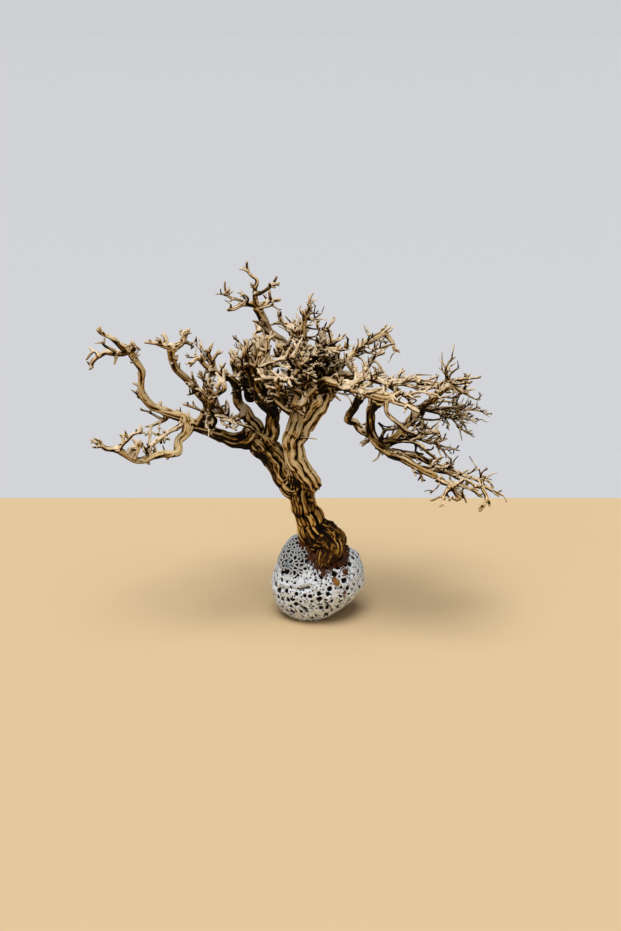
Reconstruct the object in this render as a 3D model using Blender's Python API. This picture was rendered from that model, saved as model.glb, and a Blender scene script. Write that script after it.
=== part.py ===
"""A dry root standing like a small bare tree on a pumice stone.

The root is one grown piece: every limb springs from its parent's centre line
and all of them are united into one solid. The stone is a rounded mound with a
flat base, and a collar of dried glue sits where the root's foot meets it.
Run with: blender --background --python part.py
"""
from math import atan2, cos, pi, sin

import bpy
import bmesh
from mathutils import Vector, noise

MM = 0.001
GAP = 0.35 * MM              # clear space left between pieces that touch

# The stone, centred on the middle of its flat base.
STONE_HEIGHT = 38.0 * MM
STONE_HALF_WIDTH = 22.0 * MM   # along X, at its fattest level
STONE_HALF_DEPTH = 18.0 * MM   # along Y, at its fattest level
STONE_SIDES = 36
STONE_LUMPS = 1.1 * MM         # height of the worn lumps on its surface
STONE_LUMP_SIZE = 13.0 * MM

# Level: (height, shift in X, shift in Y, width, depth), as shares of the sizes above.
STONE_LEVELS = [
    (0.00, -0.05, 0.00, 0.50, 0.60),
    (0.08, -0.04, 0.00, 0.68, 0.78),
    (0.21, 0.06, 0.00, 0.87, 0.92),
    (0.40, 0.14, 0.00, 1.00, 1.00),
    (0.58, 0.16, 0.01, 0.95, 0.95),
    (0.73, 0.14, 0.03, 0.84, 0.80),
    (0.84, 0.08, 0.05, 0.68, 0.62),
    (0.92, -0.04, 0.08, 0.48, 0.44),
    (0.97, -0.14, 0.10, 0.30, 0.28),
    (1.00, -0.18, 0.11, 0.13, 0.13),
]

# The collar of glue round the foot: (height, centre x, centre y, radius) in millimetres.
COLLAR_LEVELS = [
    (20, 9, -2, 9.4),
    (25, 9, -3, 11.4),
    (29, 8, -2, 11.0),
    (32, 7, -1, 9.8),
    (35, 5, -1, 8.8),
]
COLLAR_SIDES = 22
COLLAR_CRUMBS = 1.3 * MM
COLLAR_CRUMB_SIZE = 4.5 * MM

# The limbs of the root.
TRUNK_LIMBS = ("trunk_foot", "trunk_bend", "trunk_crown")
TRUNK_STRANDS = 6            # strands that twist round the trunk and show as ridges
TRUNK_RIDGE = 0.11           # height of a ridge, as a share of the trunk's radius
TRUNK_TWIST = 42.0           # millimetres of trunk for half a turn of the strands
TRUNK_SIDES = 18
STOUT_RADIUS = 2.1           # limbs at least this thick get more sides
STOUT_SIDES = 7
TWIG_SIDES = 5
RING_SPACING = 4.2           # millimetres between two rings along a thin limb

# Name: (parent limb, radius at its start, radius at its tip, its way as points).
# All in millimetres. A limb starts on its parent's centre line, at the place
# nearest to its own first point.
LIMBS = {
    "trunk_foot": (None, 9.0, 5.8, [(9, 0, 20), (7, -1, 29), (3, -1, 37), (-1, -1, 46), (-4, 0, 53),
        (-5, 1, 59)]),
    "trunk_bend": ("trunk_foot", 5.8, 5.6, [(-1, -4, 62), (-2, -8, 69), (-6, -9, 77), (-8, -8, 83),
        (-7, -6, 90), (-4, -4, 95), (0, -2, 102), (2, -1, 108)]),
    "trunk_crown": ("trunk_bend", 5.2, 4.2, [(2, 0, 108), (1, 2, 113), (-2, 4, 119)]),
    "trunk_lip": ("trunk_bend", 3.4, 2.6, [(0, -6, 64), (2, -8, 65)]),
    "trunk_knot": ("trunk_foot", 2.8, 1.9, [(-2, -3, 57), (1, -5, 57)]),
    "rear_strand": ("trunk_bend", 2.6, 2.0, [(-2, 2, 90), (1, 4, 94), (4, 6, 99), (8, 8, 104),
        (11, 9, 110)]),
    "left_strand": ("trunk_foot", 5.6, 5.2, [(-9, 4, 63), (-15, 6, 70), (-20, 8, 77), (-24, 9, 81)]),
    "left_limb": ("left_strand", 3.9, 2.6, [(-30, 8, 82), (-38, 8, 83), (-45, 9, 86), (-52, 8, 89),
        (-56, 8, 90)]),
    "grey_riser": ("left_strand", 3.4, 2.0, [(-25, 11, 85), (-29, 13, 92), (-33, 14, 97),
        (-34, 14, 102), (-34, 12, 107)]),
    "post": ("left_strand", 3.6, 2.6, [(-19, 9, 85), (-18, 8, 94), (-21, 5, 101), (-24, 2, 108),
        (-26, -2, 116), (-27, -5, 122)]),
    "left_hook": ("left_limb", 2.4, 1.8, [(-58, 9, 92), (-64, 9, 95), (-70, 8, 97), (-73, 7, 100),
        (-76, 6, 105), (-76, 5, 111), (-75, 4, 116), (-77, 3, 120), (-79, 2, 124)]),
    "hook_upper": ("left_hook", 1.9, 0.8, [(-83, 0, 128), (-86, -2, 132), (-90, -3, 134),
        (-92, -4, 136)]),
    "hook_lower": ("left_hook", 1.8, 0.9, [(-85, 3, 124), (-90, 5, 124), (-94, 6, 122), (-97, 7, 119),
        (-98, 8, 116)]),
    "low_arm": ("left_limb", 2.2, 1.5, [(-57, 5, 86), (-60, 1, 84), (-60, -2, 81), (-61, -5, 80),
        (-66, -8, 81), (-70, -11, 81), (-75, -14, 80), (-79, -16, 82), (-83, -18, 86)]),
    "low_arm_tip": ("low_arm", 1.4, 0.7, [(-88, -21, 88), (-91, -23, 91), (-94, -24, 93)]),
    "low_light": ("left_limb", 1.3, 0.9, [(-60, 3, 90), (-64, -2, 89), (-68, -6, 87), (-71, -9, 85),
        (-72, -11, 82)]),
    "antler": ("left_limb", 2.0, 1.8, [(-47, 5, 98), (-49, 4, 104), (-53, 3, 109), (-56, 2, 113),
        (-60, 0, 118), (-61, -2, 123), (-61, -3, 127)]),
    "antler_left": ("antler", 1.3, 0.7, [(-63, -5, 129), (-67, -7, 131), (-71, -9, 132)]),
    "antler_right": ("antler", 1.6, 1.2, [(-59, -2, 128), (-56, -1, 130), (-55, 0, 134)]),
    "left_sprig": ("left_limb", 1.8, 0.9, [(-44, 3, 96), (-46, 0, 102), (-49, -3, 108), (-51, -5, 112),
        (-51, -6, 114)]),
    "left_light": ("grey_riser", 1.7, 1.1, [(-36, 3, 93), (-39, -1, 98), (-43, -5, 103),
        (-46, -8, 107), (-48, -10, 111)]),
    "long_twig": ("left_limb", 0.9, 0.6, [(-43, 4, 93), (-47, 0, 97), (-51, -4, 101), (-56, -8, 104)]),
    "long_twig2": ("antler", 0.9, 0.6, [(-56, 9, 93), (-61, 10, 96)]),
    "long_twig3": ("grey_riser", 0.9, 0.6, [(-27, 3, 89), (-32, -2, 93), (-37, -6, 97), (-42, -9, 99)]),
    "upper_left": ("grey_riser", 2.0, 1.1, [(-34, 9, 108), (-37, 5, 113), (-42, 1, 116),
        (-46, -2, 119), (-48, -5, 123)]),
    "curl": ("left_light", 1.2, 1.2, [(-41, -6, 108), (-38, -8, 111), (-39, -8, 114), (-41, -8, 112)]),
    "sprig_a": ("post", 1.2, 0.6, [(-29, 2, 112), (-31, -1, 115), (-33, -4, 120), (-35, -5, 123)]),
    "sprig_b": ("sprig_a", 0.9, 0.6, [(-29, -3, 117), (-30, -6, 122), (-31, -8, 125), (-32, -9, 126)]),
    "stout_a": ("post", 1.6, 1.3, [(-28, -6, 124), (-29, -8, 127), (-28, -9, 132)]),
    "stout_b": ("post", 1.7, 0.8, [(-24, -8, 122), (-22, -11, 128), (-23, -13, 132)]),
    "stout_c": ("stout_b", 1.6, 0.8, [(-20, -12, 127), (-19, -15, 132), (-19, -16, 136)]),
    "fork_left": ("post", 2.4, 1.6, [(-25, 12, 104), (-29, 18, 106), (-32, 22, 110)]),
    "fork_left2": ("fork_left", 1.8, 1.0, [(-28, 12, 100), (-30, 8, 107), (-31, 6, 112),
        (-31, 5, 117)]),
    "inner_a": ("trunk_bend", 2.4, 1.4, [(-13, 3, 100), (-18, 4, 105), (-21, 2, 112), (-24, 0, 117)]),
    "inner_b": ("inner_a", 2.2, 1.2, [(-13, 6, 103), (-16, 10, 107), (-19, 14, 113), (-20, 17, 119)]),
    "inner_c": ("trunk_bend", 2.4, 1.6, [(-7, 6, 104), (-9, 10, 109), (-9, 14, 114), (-10, 17, 120)]),
    "inner_d": ("trunk_bend", 2.0, 1.2, [(-10, -8, 104), (-13, -13, 109), (-14, -17, 114),
        (-15, -19, 119)]),
    "inner_e": ("trunk_crown", 2.2, 1.4, [(-5, -4, 118), (-9, -9, 123), (-12, -13, 127),
        (-14, -16, 132)]),
    "bar": ("stout_c", 1.0, 0.7, [(-22, -15, 123), (-16, -18, 126), (-10, -19, 128), (-7, -18, 130),
        (-6, -17, 133)]),
    "bar2": ("bar", 0.9, 0.6, [(-5, -18, 123), (-2, -15, 119)]),
    "knuckle": ("trunk_crown", 2.2, 1.7, [(0, -8, 111), (-3, -12, 109), (-6, -15, 110),
        (-7, -16, 107)]),
    "leader": ("trunk_crown", 3.0, 1.9, [(-5, 6, 115), (-9, 4, 122), (-12, 2, 128), (-16, 0, 132),
        (-19, -2, 136), (-21, -4, 141), (-23, -6, 146)]),
    "leader_top": ("leader", 1.2, 0.6, [(-24, -8, 150), (-24, -10, 155), (-23, -11, 159),
        (-26, -12, 162), (-27, -12, 165), (-27, -13, 167)]),
    "leader_rib": ("leader", 1.3, 0.6, [(-19, -4, 135), (-22, -6, 139), (-25, -8, 141)]),
    "leader_left": ("leader", 1.3, 0.9, [(-27, -7, 148), (-30, -9, 148), (-33, -11, 147),
        (-35, -12, 147)]),
    "leader_left2": ("leader_left", 0.9, 0.6, [(-30, -5, 149), (-34, -4, 150), (-36, -4, 151),
        (-37, -4, 153), (-37, -5, 157)]),
    "leader_right": ("leader_top", 0.9, 0.6, [(-22, -9, 153), (-19, -10, 155), (-17, -11, 157),
        (-14, -12, 158)]),
    "leader_fan": ("leader", 1.5, 0.8, [(-20, -5, 148), (-18, -4, 149), (-14, -3, 149)]),
    "spike": ("trunk_crown", 2.4, 0.6, [(-4, 0, 126), (-4, -3, 132), (-4, -5, 137), (-3, -6, 141),
        (-2, -7, 145), (0, -8, 147)]),
    "block": ("trunk_crown", 2.0, 1.0, [(2, -1, 125), (6, -3, 127), (11, -5, 128)]),
    "shoulder": ("trunk_crown", 1.7, 0.9, [(4, 6, 120), (7, 12, 123), (8, 17, 126)]),
    "right_limb": ("trunk_bend", 2.6, 1.5, [(6, -7, 114), (11, -10, 114), (17, -12, 113),
        (22, -13, 111), (27, -13, 109), (32, -12, 108), (37, -10, 109)]),
    "elbow": ("right_limb", 1.9, 1.9, [(20, -8, 105), (18, -4, 100), (16, 0, 95), (19, 2, 92),
        (22, 2, 89), (26, 0, 87)]),
    "droop": ("right_limb", 2.7, 1.7, [(26, -6, 101), (26, -3, 94), (26, -2, 89), (29, -5, 85),
        (34, -9, 82), (41, -13, 80), (47, -17, 77), (53, -20, 75)]),
    "droop_tip": ("droop", 1.6, 0.8, [(57, -22, 73), (63, -24, 73), (66, -25, 72), (70, -26, 71)]),
    "droop_upper": ("droop", 1.9, 0.9, [(38, -4, 80), (46, -5, 79), (52, -7, 77), (57, -9, 75),
        (63, -12, 74), (68, -15, 73), (73, -17, 72)]),
    "droop_far": ("droop_upper", 0.9, 0.6, [(75, -19, 70), (78, -21, 69), (83, -23, 67)]),
    "droop_drop": ("droop_upper", 1.0, 0.7, [(74, -20, 70), (76, -22, 66), (75, -24, 64),
        (73, -25, 61)]),
    "droop_foot": ("droop_tip", 1.4, 1.0, [(61, -22, 70), (64, -22, 66)]),
    "mid_limb": ("droop", 2.4, 1.8, [(34, 0, 84), (39, 5, 86), (43, 9, 89), (46, 12, 92),
        (49, 14, 94)]),
    "fan_a": ("mid_limb", 0.9, 0.6, [(54, 13, 95), (61, 12, 96), (68, 10, 96), (75, 9, 96)]),
    "fan_b": ("mid_limb", 0.9, 0.6, [(56, 16, 93), (63, 18, 91), (69, 19, 89), (76, 20, 87)]),
    "arch": ("right_limb", 1.1, 0.9, [(32, -14, 103), (35, -14, 99), (40, -12, 94), (44, -9, 91)]),
    "arch2": ("droop", 0.9, 0.6, [(32, -8, 92), (36, -12, 94), (39, -13, 96)]),
    "hooked": ("rear_strand", 2.0, 1.1, [(12, 12, 115), (16, 15, 118), (19, 17, 121), (23, 19, 124),
        (27, 20, 126), (32, 21, 128), (34, 21, 127), (36, 20, 125)]),
    "hooked_base": ("trunk_crown", 2.2, 1.6, [(6, 8, 113), (10, 11, 114), (13, 13, 115)]),
    "canopy_a": ("hooked", 1.6, 1.0, [(22, 7, 113), (25, 13, 116), (28, 17, 119), (32, 19, 120)]),
    "upper_right": ("hooked_base", 1.9, 1.2, [(11, 4, 114), (18, 5, 114), (25, 6, 112), (32, 6, 110),
        (39, 5, 111), (45, 3, 112)]),
    "upper_right2": ("upper_right", 1.4, 1.4, [(48, 5, 110), (54, 6, 109), (60, 7, 108), (65, 8, 106),
        (69, 8, 105)]),
    "upper_right5": ("upper_right2", 1.3, 0.6, [(59, 3, 111), (64, 0, 113), (69, -2, 114)]),
    "lower_right": ("right_limb", 1.4, 0.9, [(36, -15, 107), (41, -17, 106), (45, -18, 104)]),
    "golden": ("mid_limb", 1.6, 1.4, [(51, 6, 100), (54, 1, 104), (57, -2, 108), (59, -4, 111)]),
    "cross_a": ("right_limb", 1.1, 0.7, [(20, -6, 115), (17, -2, 118), (14, 2, 121)]),
    "cross_b": ("right_limb", 1.2, 0.8, [(31, -8, 111), (37, -4, 112), (43, 0, 110), (50, 3, 108),
        (55, 5, 108)]),
    "rear_a": ("trunk_crown", 2.4, 1.0, [(0, 14, 108), (-3, 24, 109), (-6, 33, 110), (-8, 40, 115)]),
    "rear_b": ("inner_c", 1.8, 0.8, [(-9, 18, 102), (-15, 29, 101), (-21, 37, 103), (-26, 42, 107)]),
    "rear_c": ("trunk_crown", 2.0, 0.9, [(9, 16, 105), (16, 26, 101), (23, 34, 100), (31, 40, 101)]),
    "front_a": ("trunk_crown", 1.8, 0.9, [(-2, -6, 112), (-6, -16, 115), (-10, -24, 119),
        (-15, -31, 122), (-20, -36, 124)]),
    "front_b": ("right_limb", 1.8, 0.8, [(12, -19, 115), (17, -27, 116), (23, -33, 117),
        (28, -38, 120)]),
}


def smooth_point(points, t):
    """The point at t, counted in points, on a Catmull-Rom curve through points."""
    last = len(points) - 1
    i = min(int(t), last - 1)
    f = t - i
    before = points[max(i - 1, 0)]
    start = points[i]
    end = points[i + 1]
    after = points[min(i + 2, last)]
    return 0.5 * (2 * start + (end - before) * f
                  + (2 * before - 5 * start + 4 * end - after) * f ** 2
                  + (3 * start - before - 3 * end + after) * f ** 3)


def even_line(points, spacing):
    """Points about one spacing apart along the smooth curve through points."""
    fine = [smooth_point(points, i / 12) for i in range(12 * (len(points) - 1) + 1)]
    lengths = [0.0]
    for a, b in zip(fine, fine[1:]):
        lengths.append(lengths[-1] + (b - a).length)
    steps = max(2, round(lengths[-1] / spacing))
    line = []
    for step in range(steps + 1):
        target = lengths[-1] * step / steps
        i = next((k for k, s in enumerate(lengths) if s >= target), len(fine) - 1)
        i = max(i, 1)
        share = (target - lengths[i - 1]) / max(lengths[i] - lengths[i - 1], 1e-9)
        line.append(fine[i - 1].lerp(fine[i], min(max(share, 0.0), 1.0)))
    return line


def limb_line(name, lines):
    """The centre line of a limb in metres, its first point on its parent's line."""
    parent, start_radius, tip_radius, way = LIMBS[name]
    points = [Vector(p) * MM for p in way]
    if parent:
        points.insert(0, min(lines[parent], key=lambda p: (p - points[0]).length))
    spacing = max(RING_SPACING, 0.55 * (start_radius + tip_radius)) * MM
    return even_line(points, spacing)


def ring_round(centre, side, up, radius, sides, ridge=0.0, turn=0.0):
    """The corners of one cross section, round or lobed by the trunk's strands."""
    ring = []
    for i in range(sides):
        angle = 2 * pi * i / sides
        reach = radius * (1 + ridge * cos(TRUNK_STRANDS * (angle - turn)))
        ring.append(centre + side * (reach * cos(angle)) + up * (reach * sin(angle)))
    return ring


def skin(mesh_name, rings):
    """One closed body through rings of equal size, with a flat face at both ends."""
    bm = bmesh.new()
    levels = [[bm.verts.new(corner) for corner in ring] for ring in rings]
    for low, high in zip(levels, levels[1:]):
        for i in range(len(low)):
            j = (i + 1) % len(low)
            bm.faces.new((low[i], low[j], high[j], high[i]))
    bm.faces.new(list(reversed(levels[0])))
    bm.faces.new(levels[-1])
    bmesh.ops.triangulate(bm, faces=bm.faces)
    bmesh.ops.recalc_face_normals(bm, faces=bm.faces)
    mesh = bpy.data.meshes.new(mesh_name)
    bm.to_mesh(mesh)
    bm.free()
    return mesh


def limb_mesh(name, line, grow=0.0):
    """A tapering tube along a limb. grow adds to its radius, in metres."""
    start_radius, tip_radius = (r * MM for r in LIMBS[name][1:3])
    is_trunk = name in TRUNK_LIMBS
    sides = STOUT_SIDES if start_radius >= STOUT_RADIUS * MM else TWIG_SIDES
    if is_trunk:
        sides = TRUNK_SIDES
    side = Vector((1, 0, 0))
    rings = []
    for i, centre in enumerate(line):
        ahead = (line[min(i + 1, len(line) - 1)] - line[max(i - 1, 0)]).normalized()
        side = (side - ahead * side.dot(ahead)).normalized()
        share = i / (len(line) - 1)
        radius = start_radius + (tip_radius - start_radius) * share + grow
        ridge = TRUNK_RIDGE if is_trunk else 0.0
        turn = pi * centre.z / (TRUNK_TWIST * MM)
        rings.append(ring_round(centre, side, ahead.cross(side), radius, sides, ridge, turn))
    return skin(name, rings)


def stone_mesh(name, grow=0.0):
    """The worn mound. grow pushes its whole surface outwards, in metres."""
    rings = []
    for height, shift_x, shift_y, width, depth in STONE_LEVELS:
        centre = Vector((shift_x * STONE_HALF_WIDTH, shift_y * STONE_HALF_DEPTH, height * STONE_HEIGHT))
        ring = []
        for i in range(STONE_SIDES):
            angle = 2 * pi * i / STONE_SIDES
            corner = centre + Vector((width * STONE_HALF_WIDTH * cos(angle),
                                      depth * STONE_HALF_DEPTH * sin(angle), 0))
            if height > 0:
                lump = noise.noise(corner / STONE_LUMP_SIZE) * STONE_LUMPS
                corner += (corner - centre).normalized() * (lump * min(1, 4 * height))
            ring.append(corner)
        rings.append(ring)
    mesh = skin(name, rings)
    if grow:
        normals = [v.normal.copy() for v in mesh.vertices]
        for vertex, normal in zip(mesh.vertices, normals):
            vertex.co += normal * grow
    return mesh


def collar_mesh(name):
    """The lump of glue before the root and the stone are cut out of it."""
    rings = []
    for height, x, y, radius in COLLAR_LEVELS:
        centre = Vector((x, y, height)) * MM
        ring = []
        for i in range(COLLAR_SIDES):
            angle = 2 * pi * i / COLLAR_SIDES
            outward = Vector((cos(angle), sin(angle), 0))
            corner = centre + outward * (radius * MM)
            corner += outward * (noise.noise(corner / COLLAR_CRUMB_SIZE) * COLLAR_CRUMBS)
            ring.append(corner)
        rings.append(ring)
    return skin(name, rings)


def make_material(name, colour, roughness):
    """A plain Principled material."""
    material = bpy.data.materials.new(name)
    material.use_nodes = True
    shader = material.node_tree.nodes["Principled BSDF"]
    shader.inputs["Base Color"].default_value = (*colour, 1)
    shader.inputs["Roughness"].default_value = roughness
    shader.inputs["Metallic"].default_value = 0.0
    return material


def add_object(name, mesh, material=None):
    """A new object in the scene. Without a material it is a tool that cuts or joins."""
    item = bpy.data.objects.new(name, mesh)
    bpy.context.scene.collection.objects.link(item)
    if material:
        mesh.materials.append(material)
        mesh.shade_smooth()
        mesh.set_sharp_from_angle(angle=0.9)
    else:
        item.hide_render = True
        item.display_type = "WIRE"
    return item


def add_boolean(target, operation, tool):
    """Cut a tool out of the target, or unite the target with it."""
    step = target.modifiers.new(operation.lower(), "BOOLEAN")
    step.operation = operation
    step.solver = "EXACT"
    if isinstance(tool, bpy.types.Collection):
        step.operand_type = "COLLECTION"
        step.collection = tool
    else:
        step.object = tool


def build_root(wood):
    """Unite every limb with the trunk's foot and cut the foot to sit on the stone."""
    lines = {}
    for name in LIMBS:
        lines[name] = limb_line(name, lines)
    root = add_object("dry_root", limb_mesh("trunk_foot", lines["trunk_foot"]), wood)
    limbs = bpy.data.collections.new("limbs")
    for name in LIMBS:
        if name != "trunk_foot":
            limb = add_object("limb_" + name, limb_mesh(name, lines[name]))
            limbs.objects.link(limb)
    add_boolean(root, "UNION", limbs)
    seat = add_object("seat_cutter", stone_mesh("seat_cutter", GAP))
    add_boolean(root, "DIFFERENCE", seat)
    return lines["trunk_foot"], seat


def build_stone(pumice):
    """The stone that carries the root."""
    return add_object("pumice_stone", stone_mesh("pumice_stone"), pumice)


def build_collar(glue, foot_line, seat):
    """The crust of glue round the foot, clear of both the root and the stone."""
    collar = add_object("glue_collar", collar_mesh("glue_collar"), glue)
    foot = add_object("foot_cutter", limb_mesh("trunk_foot", foot_line, GAP))
    add_boolean(collar, "DIFFERENCE", foot)
    add_boolean(collar, "DIFFERENCE", seat)


def main():
    for item in list(bpy.data.objects):
        bpy.data.objects.remove(item)
    foot_line, seat = build_root(make_material("weathered_wood", (0.40, 0.26, 0.12), 0.8))
    build_stone(make_material("pumice", (0.60, 0.60, 0.58), 0.9))
    build_collar(make_material("dried_glue", (0.14, 0.05, 0.02), 0.6), foot_line, seat)


main()
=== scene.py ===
# A dry root set upright on a pumice stone: the finish of every surface, built round the frame.
import math
import random

import bmesh
import bpy
import numpy as np
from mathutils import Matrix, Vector, noise


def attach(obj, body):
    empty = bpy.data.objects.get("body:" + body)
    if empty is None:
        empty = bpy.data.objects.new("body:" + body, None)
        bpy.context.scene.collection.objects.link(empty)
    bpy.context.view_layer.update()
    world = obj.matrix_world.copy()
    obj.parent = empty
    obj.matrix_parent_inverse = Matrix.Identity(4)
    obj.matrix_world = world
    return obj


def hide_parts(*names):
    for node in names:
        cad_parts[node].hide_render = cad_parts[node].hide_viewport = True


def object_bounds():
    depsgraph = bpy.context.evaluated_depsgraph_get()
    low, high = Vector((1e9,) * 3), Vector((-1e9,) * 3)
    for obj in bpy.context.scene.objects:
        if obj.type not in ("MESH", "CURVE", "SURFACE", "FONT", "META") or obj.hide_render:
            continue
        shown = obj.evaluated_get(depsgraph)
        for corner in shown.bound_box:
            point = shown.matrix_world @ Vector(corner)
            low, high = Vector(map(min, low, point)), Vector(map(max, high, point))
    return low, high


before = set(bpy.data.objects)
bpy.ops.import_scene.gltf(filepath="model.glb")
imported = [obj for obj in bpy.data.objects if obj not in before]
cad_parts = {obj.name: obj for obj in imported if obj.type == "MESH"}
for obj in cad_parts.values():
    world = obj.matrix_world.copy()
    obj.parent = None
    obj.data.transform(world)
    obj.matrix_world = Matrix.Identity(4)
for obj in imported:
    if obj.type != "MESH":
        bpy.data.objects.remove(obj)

mm = 0.001
noise.seed_set(5)        # so that every run drifts the limbs alike
cadLow, cadHigh = [list(corner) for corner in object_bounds()]
print("frame loaded")


def plug(value, socket):
    # joins a socket to what comes out of a node, or gives it a fixed value
    if isinstance(value, bpy.types.NodeSocket):
        socket.id_data.links.new(value, socket)
    else:
        socket.default_value = value


def addNode(tree, kind, sockets=None, settings=None):
    item = tree.nodes.new(kind)
    for name, value in (settings or {}).items():
        setattr(item, name, value)
    for key, value in (sockets or {}).items():
        plug(value, item.inputs[key])
    return item


def outOf(tree, kind, sockets=None, settings=None, output=0):
    return addNode(tree, kind, sockets, settings).outputs[output]


def calc(operation, *values):
    # a Math node, in the tree that its values come from
    tree = next(value.id_data for value in values if isinstance(value, bpy.types.NodeSocket))
    return outOf(tree, "ShaderNodeMath", dict(enumerate(values)), {"operation": operation})


def plus(first, *others):
    for other in others:
        first = calc("ADD", first, other)
    return first


def minus(first, second):
    return calc("SUBTRACT", first, second)


def times(first, *others):
    for other in others:
        first = calc("MULTIPLY", first, other)
    return first


def swing(value, reach):
    # turns 0 to 1 into minus reach to plus reach
    return calc("MULTIPLY_ADD", value, 2 * reach, -reach)


def ease(value, low, high, outLow=0.0, outHigh=1.0):
    # a smooth step from outLow to outHigh while the value goes from low to high
    sockets = {"Value": value, "From Min": low, "From Max": high, "To Min": outLow, "To Max": outHigh}
    return outOf(value.id_data, "ShaderNodeMapRange", sockets, {"interpolation_type": "SMOOTHSTEP"})


def calcVector(operation, first, second):
    item = addNode(first.id_data, "ShaderNodeVectorMath", {0: first}, {"operation": operation})
    plug(second, item.inputs["Scale" if operation == "SCALE" else 1])
    return item.outputs["Value" if operation in ("DISTANCE", "DOT_PRODUCT") else "Vector"]


def joinVector(x, y, z):
    return outOf(x.id_data, "ShaderNodeCombineXYZ", {0: x, 1: y, 2: z})


def splitVector(vector):
    return addNode(vector.id_data, "ShaderNodeSeparateXYZ", {0: vector}).outputs


def cloudy(place, scale, detail=2.0, roughness=0.5, output=0):
    sockets = {"Vector": place, "Scale": scale, "Detail": detail, "Roughness": roughness}
    return outOf(place.id_data, "ShaderNodeTexNoise", sockets, None, output)


def cellEdges(place, scale, randomness=1.0):
    # how far each place lies from the edge of its cell
    sockets = {"Vector": place, "Scale": scale, "Randomness": randomness}
    return outOf(place.id_data, "ShaderNodeTexVoronoi", sockets, {"feature": "DISTANCE_TO_EDGE"}, "Distance")


def newTree(name, kind, inputs, outputs):
    # each input is named with its first value, or with its kind where it has none
    tree = bpy.data.node_groups.new(name, kind)
    for label, value in inputs.items():
        plain = isinstance(value, str)
        socketKind = "NodeSocket" + (value if plain else type(value).__name__.title())
        socket = tree.interface.new_socket(label, in_out="INPUT", socket_type=socketKind)
        if not plain:
            socket.default_value = value
    outKind = "NodeSocketGeometry" if kind == "GeometryNodeTree" else "NodeSocketFloat"
    for label in outputs:
        tree.interface.new_socket(label, in_out="OUTPUT", socket_type=outKind)
    return tree, tree.nodes.new("NodeGroupInput").outputs, tree.nodes.new("NodeGroupOutput").inputs


def applyTree(item, tree, values):
    # runs a tree on an object and keeps the result as a plain mesh
    step = item.modifiers.new(tree.name, "NODES")
    step.node_group = tree
    for socket in tree.interface.items_tree:
        if socket.in_out == "INPUT" and socket.name in values:
            step[socket.identifier] = values[socket.name]
    return applyAll(item)


def applyAll(item):
    made = bpy.data.meshes.new_from_object(
        item.evaluated_get(bpy.context.evaluated_depsgraph_get()))
    item.modifiers.clear()
    item.data = made
    return item


def newObject(name, data):
    item = bpy.data.objects.new(name, data)
    bpy.context.scene.collection.objects.link(item)
    return item


def lineMesh(name, points, edges):
    mesh = bpy.data.meshes.new(name)
    mesh.from_pydata(points, edges, [])
    return mesh


def capture(geometry, field, kind):
    # keeps a field on the points before the geometry changes
    item = addNode(geometry.id_data, "GeometryNodeCaptureAttribute", None, {"domain": "POINT"})
    item.capture_items.new(kind, "value")
    plug(geometry, item.inputs[0])
    plug(field, item.inputs[1])
    return item.outputs[0], item.outputs[1]


def storeField(geometry, name, field, kind="FLOAT"):
    return outOf(geometry.id_data, "GeometryNodeStoreNamedAttribute",
                 {"Geometry": geometry, "Name": name, "Value": field}, {"data_type": kind, "domain": "POINT"})


def readField(tree, name, kind="FLOAT"):
    return outOf(tree, "GeometryNodeInputNamedAttribute", {"Name": name}, {"data_type": kind})


def positionIn(tree):
    return outOf(tree, "GeometryNodeInputPosition")


def blurred(field, rounds):
    return outOf(field.id_data, "GeometryNodeBlurAttribute", {"Value": field, "Iterations": rounds},
                 {"data_type": "FLOAT_VECTOR"})


def meshOf(wanted):
    # the geometry of the object that an input names
    return outOf(wanted.id_data, "GeometryNodeObjectInfo", {"Object": wanted}, None, "Geometry")


def moveBy(geometry, direction, far):
    return outOf(geometry.id_data, "GeometryNodeSetPosition",
                 {"Geometry": geometry, "Offset": calcVector("SCALE", direction, far)})


def finish(geometry, given, output):
    # every tree ends the same way: smooth, real geometry that wears its material
    tree = geometry.id_data
    smooth = outOf(tree, "GeometryNodeSetShadeSmooth", {"Geometry": geometry})
    real = outOf(tree, "GeometryNodeRealizeInstances", {"Geometry": smooth})
    plug(outOf(tree, "GeometryNodeSetMaterial", {"Geometry": real, "Material": given["Finish"]}), output)


def newLook(name):
    # a material, its shader, and where each place of the object lies
    material = bpy.data.materials.new(name)
    material.use_nodes = True
    tree = material.node_tree
    place = outOf(tree, "ShaderNodeTexCoord", output="Object")
    return material, tree.nodes["Principled BSDF"], place


def setSurface(shader, colour, roughness, specular, height, strength, distance):
    plug(colour, shader.inputs["Base Color"])
    plug(roughness, shader.inputs["Roughness"])
    plug(specular, shader.inputs["Specular IOR Level"])
    sockets = {"Strength": strength, "Distance": distance, "Height": height}
    plug(outOf(shader.id_data, "ShaderNodeBump", sockets), shader.inputs["Normal"])


def mixColour(share, first, second, blend="MIX"):
    item = addNode(share.id_data, "ShaderNodeMix", {0: share}, {"data_type": "RGBA", "blend_type": blend})
    for socket, value in ((item.inputs[6], first), (item.inputs[7], second)):
        plug(value if isinstance(value, bpy.types.NodeSocket) else (*value, 1.0), socket)
    return item.outputs[2]


def readAttribute(tree, name, output="Fac"):
    return outOf(tree, "ShaderNodeAttribute", None, {"attribute_name": name}, output)


# the tone runs from crevice through shade, ochre and straw to the palest colour: crevice and shade, the dark
# end, are painted shade; the palest end is partly the wood's own pale colour and partly painted light
woodColours = {
    "crevice": (0.006, 0.003, 0.001),
    "shade": (0.055, 0.021, 0.003),
    "ochre": (0.29, 0.145, 0.021),
    "straw": (0.62, 0.40, 0.135),
    "bleached": (1.0, 0.82, 0.58),
    "grey": (0.36, 0.33, 0.28),
    "weathered": (0.86, 0.66, 0.38),
    "stain": (0.050, 0.015, 0.004),
    "golden": (1.0, 0.82, 0.42),
}
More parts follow.
